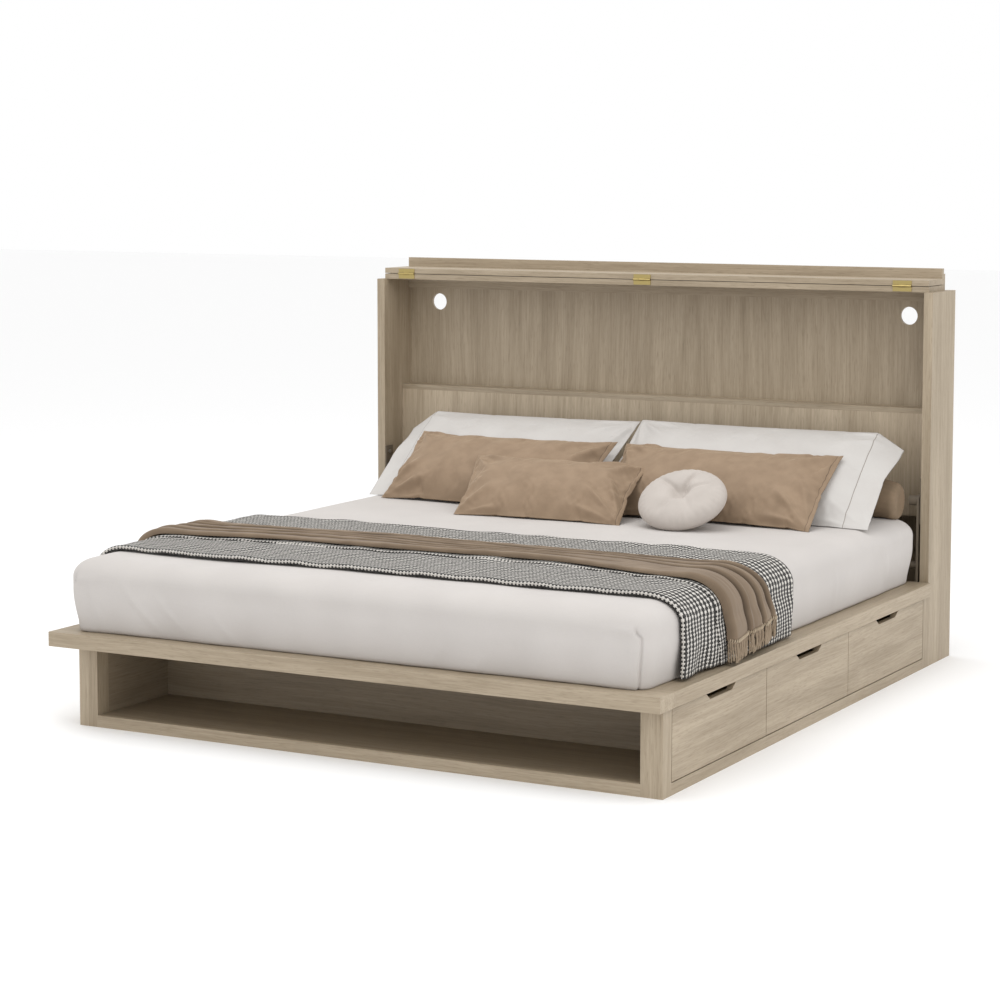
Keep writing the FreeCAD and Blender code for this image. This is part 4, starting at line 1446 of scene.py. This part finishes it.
@dataclass(frozen=True)
class Pillow:
    """A pillow that leans back: its flat outline is a four-cornered patch over the bed."""

    name: str
    node: str
    slot: str
    case: CushionCase
    corners: tuple[tuple[float, float, float], ...]
    loft: tuple[float, float]
    fill: float
    keep: float
    waist: float = 0.35
    stitch: tuple[int, float] = (1, 0.016)
    flange: float = 0.0
    droop: tuple[float, float, float] = (0.0, 0.0, 0.0)
    wrinkle: float = 0.0035

    def relief(self, x: np.ndarray, y: np.ndarray) -> np.ndarray:
        """Height of the wrinkles and seams over the filled face.

        From each corner a fan of ridges runs inwards: a cosine over the angle, under a bell curve over
        the distance from the corner. Short gathers stand along both end seams. The stitched line is a
        narrow bell-shaped groove beside one end.

        Args:
            x: Flat place across the case, from its middle.
            y: Flat place up the case, from its middle.

        Returns:
            The height at each point.
        """
        draw = np.random.default_rng(self.case.seed + 100)
        half_x, half_y = self.case.width / 2, self.case.height / 2
        relief = np.zeros_like(x)
        for side_x in (-1, 1):
            for side_y in (-1, 1):
                in_x, in_y = half_x - side_x * x, half_y - side_y * y
                away = np.hypot(in_x, in_y)
                angle = np.arctan2(in_y, in_x)
                phase, count = draw.uniform(0, 6), draw.uniform(11, 15)
                reach = draw.uniform(0.10, 0.14)
                fan = 2 * (0.5 + 0.5 * np.cos(count * angle + phase + 5 * away)) ** 2.2 - 0.8
                relief += 1.4 * self.wrinkle * fan * np.exp(-(((away - reach) / 0.06) ** 2))
            to_end = half_x - side_x * x
            place = np.stack([x, y], axis=-1)
            wave = np.cos(2 * np.pi * y / 0.042 + 2.2 * soft_noise(place, 0.16, self.case.seed + 7, 8))
            relief += 0.75 * self.wrinkle * wave * np.exp(-to_end / 0.035) * smoothstep(to_end, 0.004, 0.02)
        relief += 0.4 * self.wrinkle * soft_noise(np.stack([x, y], axis=-1), 0.11, self.case.seed + 9)
        edge = np.minimum(half_x - np.abs(x), half_y - np.abs(y))
        relief *= smoothstep(edge, 0.0, 0.02)
        side, inset = self.stitch
        line = half_x - side * x - inset
        relief -= 0.0026 * np.exp(-((line / 0.0032) ** 2))
        return relief

    def place(self, bed_top: float) -> tuple[np.ndarray, np.ndarray, np.ndarray]:
        """Lay the filled case on its patch.

        The case's flat coordinates become shares of its width and height, which blend the four
        corners; its thickness goes along the patch's normal, scaled for the front and for the back.
        Only the waist's share of the pull on the seams is kept. What would sink into the bed is
        flattened onto it.

        Args:
            bed_top: Height that it rests on.

        Returns:
            Points and quads in the frame, and the cloth's own map, inwards from the stitched end.
        """
        front, back = self.case.filled()
        width, height = self.case.width, self.case.height
        columns, rows = front.shape[:2]
        flat_x, flat_y = np.meshgrid(
            np.linspace(-0.5, 0.5, columns) * width, np.linspace(-0.5, 0.5, rows) * height, indexing="ij"
        )
        span_x, span_y = np.ptp(front[..., 0]), np.ptp(front[..., 1])
        to_end = width / 2 - self.stitch[0] * flat_x
        bottom_left, bottom_right, top_left, top_right = (np.array(c) for c in self.corners)
        normal = np.cross(bottom_right - bottom_left, top_left - bottom_left)
        normal /= np.linalg.norm(normal)
        grids = []
        sides = (
            (front, self.loft[0] / front[..., 2].max(), 1), (back, -self.loft[1] / back[..., 2].min(), -1),
        )
        for face, scale, sign in sides:
            x = flat_x + self.waist * (face[..., 0] * width / span_x - flat_x)
            y = flat_y + self.waist * (face[..., 1] * height / span_y - flat_y)
            s, t = (x / width + 0.5)[..., None], (y / height + 0.5)[..., None]
            depth = face[..., 2] * scale + sign * self.relief(flat_x, flat_y)
            if self.flange:
                closed = smoothstep(to_end, 0.35 * self.flange, 1.9 * self.flange)
                depth = depth * (0.16 + 0.84 * closed)
            placed = (bottom_left * (1 - s) + bottom_right * s) * (1 - t)
            placed = placed + (top_left * (1 - s) + top_right * s) * t + depth[..., None] * normal
            outer = s if self.stitch[0] > 0 else 1 - s
            hang = np.clip((outer - 1) * width / max(self.flange, 0.02) + 1, 0, 1)
            placed = placed + hang * smoothstep(t, 0.45, 1.0) * np.array(self.droop)
            grids.append(placed)
        points, faces = self.case.sewn(*grids)
        floor = bed_top + 0.0015
        sunk = np.clip(floor - points[:, 2], 0, None)
        points[:, 2] = np.maximum(points[:, 2], floor)
        points[:, 1] -= 0.25 * sunk
        inward = np.stack([to_end, flat_y], axis=-1)
        uv = np.vstack([inward.reshape(-1, 2), inward[1:-1, 1:-1].reshape(-1, 2)])
        return points, faces, uv

    def build(self, bed_top: float, material: bpy.types.Material) -> bpy.types.Object:
        """Args:
            bed_top: Height that it rests on.
            material: Its cloth.

        Returns:
            The pillow.
        """
        points, faces, uv = self.place(bed_top)
        piece = build_mesh(self.name, points, faces, uv)
        dress(piece, material)
        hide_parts(self.node)
        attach(piece, "deck")
        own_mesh(piece)
        log.info("%s", self.name)
        return piece


@dataclass
class PillowPile:
    """All that leans on the headboard: bolster, shams, velvet pillows, lumbar and round cushion."""

    bed_top: float

    def leaning(
        self, name: str, node: str, slot: str, bottom: tuple[float, float, float, float],
        top: tuple[float, float, float, float], loft: tuple[float, float], **options: object,
    ) -> Pillow:
        """Set up a pillow from its node's box.

        Args:
            name: The piece's name.
            node: The node that it stands for.
            slot: Name of a material slot; not used.
            bottom: How far the lower corners stand beyond the box: left, right, and forwards at each.
            top: How far the upper corners stand beyond the box: left, right, up, and back.
            loft: Thickness before and behind its middle sheet.
            **options: Further fields of Pillow.

        Returns:
            The pillow.
        """
        low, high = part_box(node)
        corners = (
            (low.x - bottom[0], low.y - bottom[2], self.bed_top),
            (high.x + bottom[1], low.y - bottom[3], self.bed_top),
            (low.x - top[0], high.y + top[3], high.z + top[2]),
            (high.x + top[1], high.y + top[3], high.z + top[2]),
        )
        height = math.hypot(high.y + top[3] - low.y, high.z + top[2] - self.bed_top)
        case = CushionCase(high.x - low.x, height, seed=len(name), **options.pop("case", {}))
        return Pillow(name, node, slot, case, corners, loft, **options)

    def pillows(self) -> list[tuple[Pillow, str]]:
        """The leaning pillows, each with the name of its cloth."""
        sham = {"fill": 0.6, "keep": 0.5, "waist": 0.12, "flange": 0.085, "wrinkle": 0.0028}
        velvet = {"fill": 0.75, "keep": 0.45, "wrinkle": 0.0052}
        return [
            (self.leaning(
                "sham_pillow_left", "sham_left", "sham_cotton", (-0.075, -0.02, 0.0, 0.0),
                (-0.045, 0.012, -0.008, -0.05), (0.062, 0.050), stitch=(-1, 0.085),
                droop=(-0.020, 0.0, -0.070), **sham,
            ), "sham"),
            (self.leaning(
                "sham_pillow_right", "sham_right", "sham_cotton", (0.0, 0.020, 0.0, 0.0),
                (-0.010, -0.010, -0.002, -0.05), (0.066, 0.050), stitch=(1, 0.085),
                droop=(0.006, 0.0, -0.056), **sham,
            ), "sham"),
            (self.leaning(
                "velvet_cushion_left", "velvet_pillow_left", "tan_velvet", (-0.015, 0.0, -0.030, 0.02),
                (-0.045, 0.022, -0.006, -0.045), (0.078, 0.040), **velvet,
            ), "velvet"),
            (self.leaning(
                "velvet_cushion_right", "velvet_pillow_right", "tan_velvet", (-0.03, 0.0, 0.0, 0.045),
                (-0.02, -0.010, -0.008, -0.045), (0.078, 0.040), **velvet,
            ), "velvet"),
            (self.leaning(
                "lumbar_cushion", "lumbar_pillow", "tan_velvet", (-0.060, 0.022, -0.004, -0.020),
                (0.030, -0.022, -0.004, 0.015), (0.080, 0.040), fill=0.8, keep=0.45, wrinkle=0.0052,
            ), "velvet"),
        ]

    def bolster(self, material: bpy.types.Material) -> bpy.types.Object:
        """A round bolster whose ends are gathered to the middle.

        The radius over the length is constant, rounds over the last stretch, and closes at each end;
        near the ends fine gathers run round it as a cosine of the angle.

        Args:
            material: Its cloth.

        Returns:
            The bolster.
        """
        low, high = (Vector(corner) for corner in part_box("bolster"))
        high.x += 0.010
        radius = (high.z - low.z) / 2 + 0.003
        centre_y, centre_z = (low.y + high.y) / 2, (low.z + high.z) / 2
        round_off, around = 0.022, 64
        turn = np.linspace(0, np.pi / 2, 9)
        cap_x = round_off * (1 - np.cos(turn))
        cap_r = radius - round_off + round_off * np.sin(turn)
        end_r = np.linspace(0.004, cap_r[0], 7)[:-1]
        end_x = 0.004 * (1 - (end_r / cap_r[0]) ** 2)
        length = high.x - low.x
        body = np.linspace(round_off, length - round_off, 120)[1:-1]
        x = np.concatenate([end_x, cap_x, body, length - cap_x[::-1], length - end_x[::-1]])
        r = np.concatenate([end_r, cap_r, np.full(len(body), radius), cap_r[::-1], end_r[::-1]])
        angle = np.linspace(0, 2 * np.pi, around, endpoint=False)[None, :]
        cosine, sine = np.cos(angle), np.sin(angle)
        place = np.stack(np.broadcast_arrays(x[:, None], radius * cosine, radius * sine), axis=-1)
        to_end = np.minimum(x, x[-1] - x)[:, None]
        gathers = 0.0016 * np.exp(-to_end / 0.03) * np.cos(angle * 22 + 0.6 * np.sin(angle * 3))
        swell = (0.0016 * soft_noise(place, 0.12, 52) + gathers) * smoothstep(r[:, None], 0.004, 0.03)
        reach = r[:, None] + swell
        points = np.stack(np.broadcast_arrays(
            low.x + x[:, None], centre_y + reach * cosine, centre_z + reach * sine
        ), axis=-1)
        points[..., 2] = np.maximum(points[..., 2], self.bed_top + 0.0015)
        droop = 0.007
        points[..., 2] -= droop * smoothstep(points[..., 0], high.x - 0.055, high.x - 0.005)
        faces = ring_faces(len(x), around)
        tips = np.array([
            [low.x + 0.004, centre_y, centre_z], [high.x - 0.004, centre_y, centre_z - droop],
        ])
        flat = points.reshape(-1, 3)
        number = len(flat)
        first = np.arange(0, around, 2)
        last = (len(x) - 1) * around + first
        fan = np.stack([np.full(len(first), number), first, first + 1, (first + 2) % around], axis=-1)
        end = np.stack([
            np.full(len(first), number + 1), (len(x) - 1) * around + (first + 2) % around, last + 1, last,
        ], axis=-1)
        faces = np.vstack([faces, fan, end])[:, ::-1]
        piece = build_mesh("bolster_cushion", np.vstack([flat, tips]), faces)
        dress(piece, material)
        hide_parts("bolster")
        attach(piece, "deck")
        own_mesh(piece)
        return piece

    def round_cushion(self, material: bpy.types.Material) -> bpy.types.Object:
        """A round cushion, tufted in the middle, that leans on the velvet pillow.

        Its two faces are crowned discs: thickness falls from the shoulder to the seam as the square
        root of one less the radius to the fourth power, and to the tuft along a bell curve. Five
        folds run outwards from the tuft, and fine gathers stand round the seam.

        Args:
            material: Its cloth.

        Returns:
            The cushion.
        """
        low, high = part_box("round_cushion")
        across = (high.x - low.x) / 2
        rings, around = 46, 180
        share = np.sin(np.linspace(0, np.pi / 2, rings))[:, None]
        angle = np.linspace(0, 2 * np.pi, around, endpoint=False)[None, :]
        crown = 0.047 * np.sqrt(np.clip(1 - share**4, 0, 1))
        tuft = 0.034 * np.exp(-((share / 0.20) ** 2))
        folds = np.zeros((rings, around))
        for towards, depth, spread in (
            (1.36, 0.012, 0.13), (2.55, 0.010, 0.15), (0.55, 0.006, 0.14), (4.35, 0.006, 0.2),
            (5.35, 0.005, 0.2),
        ):
            turned = np.angle(np.exp(1j * (angle - towards)))
            away = turned * np.maximum(share, 0.12)
            reach = smoothstep(share, 0.05, 0.2) * (1 - smoothstep(share, 0.55, 0.95))
            folds += depth * reach * np.exp(-((away / spread / 0.45) ** 2))
        gathers = 0.0013 * smoothstep(share, 0.72, 0.95) * np.cos(angle * 34 + 1.2 * np.sin(5 * angle))
        front = crown - tuft - folds + gathers * np.sqrt(np.clip(1 - share**8, 0, 1))
        back = -(crown * 0.75 - 0.5 * tuft)
        flat = np.stack([share * np.cos(angle), share * np.sin(angle)], axis=-1) * across
        lean = math.radians(33)
        tall = across * 0.94
        bottom = np.array([(low.x + high.x) / 2, low.y + 0.006, self.bed_top + 0.010])
        up = np.array([0, math.cos(lean), math.sin(lean)])
        out = np.array([0, -math.sin(lean), math.cos(lean)])
        middle = bottom + up * tall
        sides = []
        for relief in (front, back):
            grid = middle + flat[..., :1] * np.array([1, 0, 0]) + flat[..., 1:] * (tall / across) * up
            grid = grid + relief[..., None] * out
            sides.append(grid)
        points = np.vstack([sides[0].reshape(-1, 3), sides[1][:-1].reshape(-1, 3)])
        floor = self.bed_top + 0.0015
        sunk = np.clip(floor - points[:, 2], 0, None)
        points[:, 2] = np.maximum(points[:, 2], floor)
        points[:, 1] -= 0.4 * sunk
        numbers = np.vstack([
            rings * around + np.arange((rings - 1) * around).reshape(rings - 1, around),
            (rings - 1) * around + np.arange(around)[None],
        ])
        numbers = np.hstack([numbers, numbers[:, :1]])
        faces = np.vstack([ring_faces(rings, around), quads(numbers.T)])
        piece = build_mesh("round_tufted_cushion", points, faces)
        dress(piece, material)
        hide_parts("round_cushion")
        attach(piece, "deck")
        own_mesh(piece)
        return piece

    def build(self) -> None:
        """Build every pillow from the headboard forwards."""
        cloths = {"sham": SHAM_COTTON.material(), "velvet": PIPED_VELVET.material()}
        # The bolster's darker velvet is painted shade.
        self.bolster(BOLSTER_VELVET_PAINTED_SHADE.material())
        for pillow, cloth in self.pillows():
            pillow.build(self.bed_top, cloths[cloth])
        self.round_cushion(CREAM_VELVET.material())


@dataclass
class Bedding:
    """The mattress with everything that lies on it."""

    def build(self) -> None:
        """Build the mattress, the blanket, the throw and the pillows."""
        mattress = MadeMattress()
        made = mattress.build()
        dress(made, PERCALE.material())
        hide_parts("mattress", "mattress_cover")
        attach(made, "deck")
        log.info("mattress in its fitted sheet")
        blanket = CheckBlanket(mattress).build()
        dress(blanket, CheckFinish().material())
        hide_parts("check_blanket")
        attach(blanket, "deck")
        throw = FringedThrow(mattress).build()
        dress(throw[0], THROW_TWILL.material())
        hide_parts("fringed_throw")
        for piece in throw:
            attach(piece, "deck")
        PillowPile(mattress.high.z).build()


# --------------------------------------------------------------------------------------
# Studio
# --------------------------------------------------------------------------------------


@dataclass(frozen=True)
class SoftLight:
    """A square area light that looks at the bed."""

    name: str
    place: tuple[float, float, float]
    size: float
    power: float

    def build(self, target: Vector) -> None:
        """Hang the light and turn it to the target."""
        data = bpy.data.lights.new(self.name, "AREA")
        data.size = self.size
        data.energy = self.power
        lamp = bpy.data.objects.new(self.name, data)
        lamp.location = self.place
        lamp.rotation_euler = (target - lamp.location).to_track_quat("-Z", "Y").to_euler()
        bpy.context.scene.collection.objects.link(lamp)


@dataclass
class Studio:
    """A pale floor, soft light and the camera."""

    camera_place: tuple[float, float, float] = (3.8704, -7.1651, 1.6642)
    camera_turn: float = 28.641
    camera_dip: float = 5.748
    lens: float = 94.23
    rise: float = -0.08
    floor_size: float = 60.0
    lights: tuple[SoftLight, ...] = (
        SoftLight("key_light", (4.6, -2.2, 4.2), 3.0, 70.0),
        SoftLight("top_light", (-0.8, -0.4, 5.0), 4.0, 90.0),
    )

    def build(self) -> None:
        """Make the camera, the floor, the sky and the lights."""
        data = bpy.data.cameras.new("camera")
        data.lens = self.lens
        data.sensor_width = 36.0
        data.shift_y = self.rise
        data.clip_end = 200.0
        camera = bpy.data.objects.new("camera", data)
        camera.location = self.camera_place
        camera.rotation_euler = Euler(
            (math.radians(90 - self.camera_dip), 0.0, math.radians(self.camera_turn)), "XYZ"
        )
        bpy.context.scene.collection.objects.link(camera)
        bpy.context.scene.camera = camera
        bpy.context.scene.view_settings.view_transform = "Standard"
        half = self.floor_size / 2
        corners = half * np.array([[-1, -1, 0], [1, -1, 0], [1, 1, 0], [-1, 1, 0]])
        floor = build_mesh("studio_floor", corners, np.array([[0, 1, 2, 3]]))
        paper = Recipe("white_paper_floor")
        tooth = paper.noise(paper.place(), 300.0, 2.0)
        dress(floor, paper.finished(Base_Color=paper.mix(tooth, "#FCFCFC", "#FAFAFA"), Roughness=0.9))
        world = bpy.data.worlds.new("studio_white")
        bpy.context.scene.world = world
        world.use_nodes = True
        world.node_tree.nodes.clear()
        tree = world.node_tree
        sky = add_node(tree, "ShaderNodeBackground", {"Color": linear("#FFFFFF"), "Strength": 1.0})
        add_node(tree, "ShaderNodeOutputWorld", {"Surface": sky.outputs[0]})
        for light in self.lights:
            light.build(Vector((0.0, 0.0, 0.4)))
        log.info("studio")


def main() -> None:
    """Build the bed's looks in order."""
    logging.basicConfig(level=logging.INFO, format="%(message)s")
    Studio().build()
    Carcass().finish()
    Bedding().build()


if __name__ == "__main__":
    main()
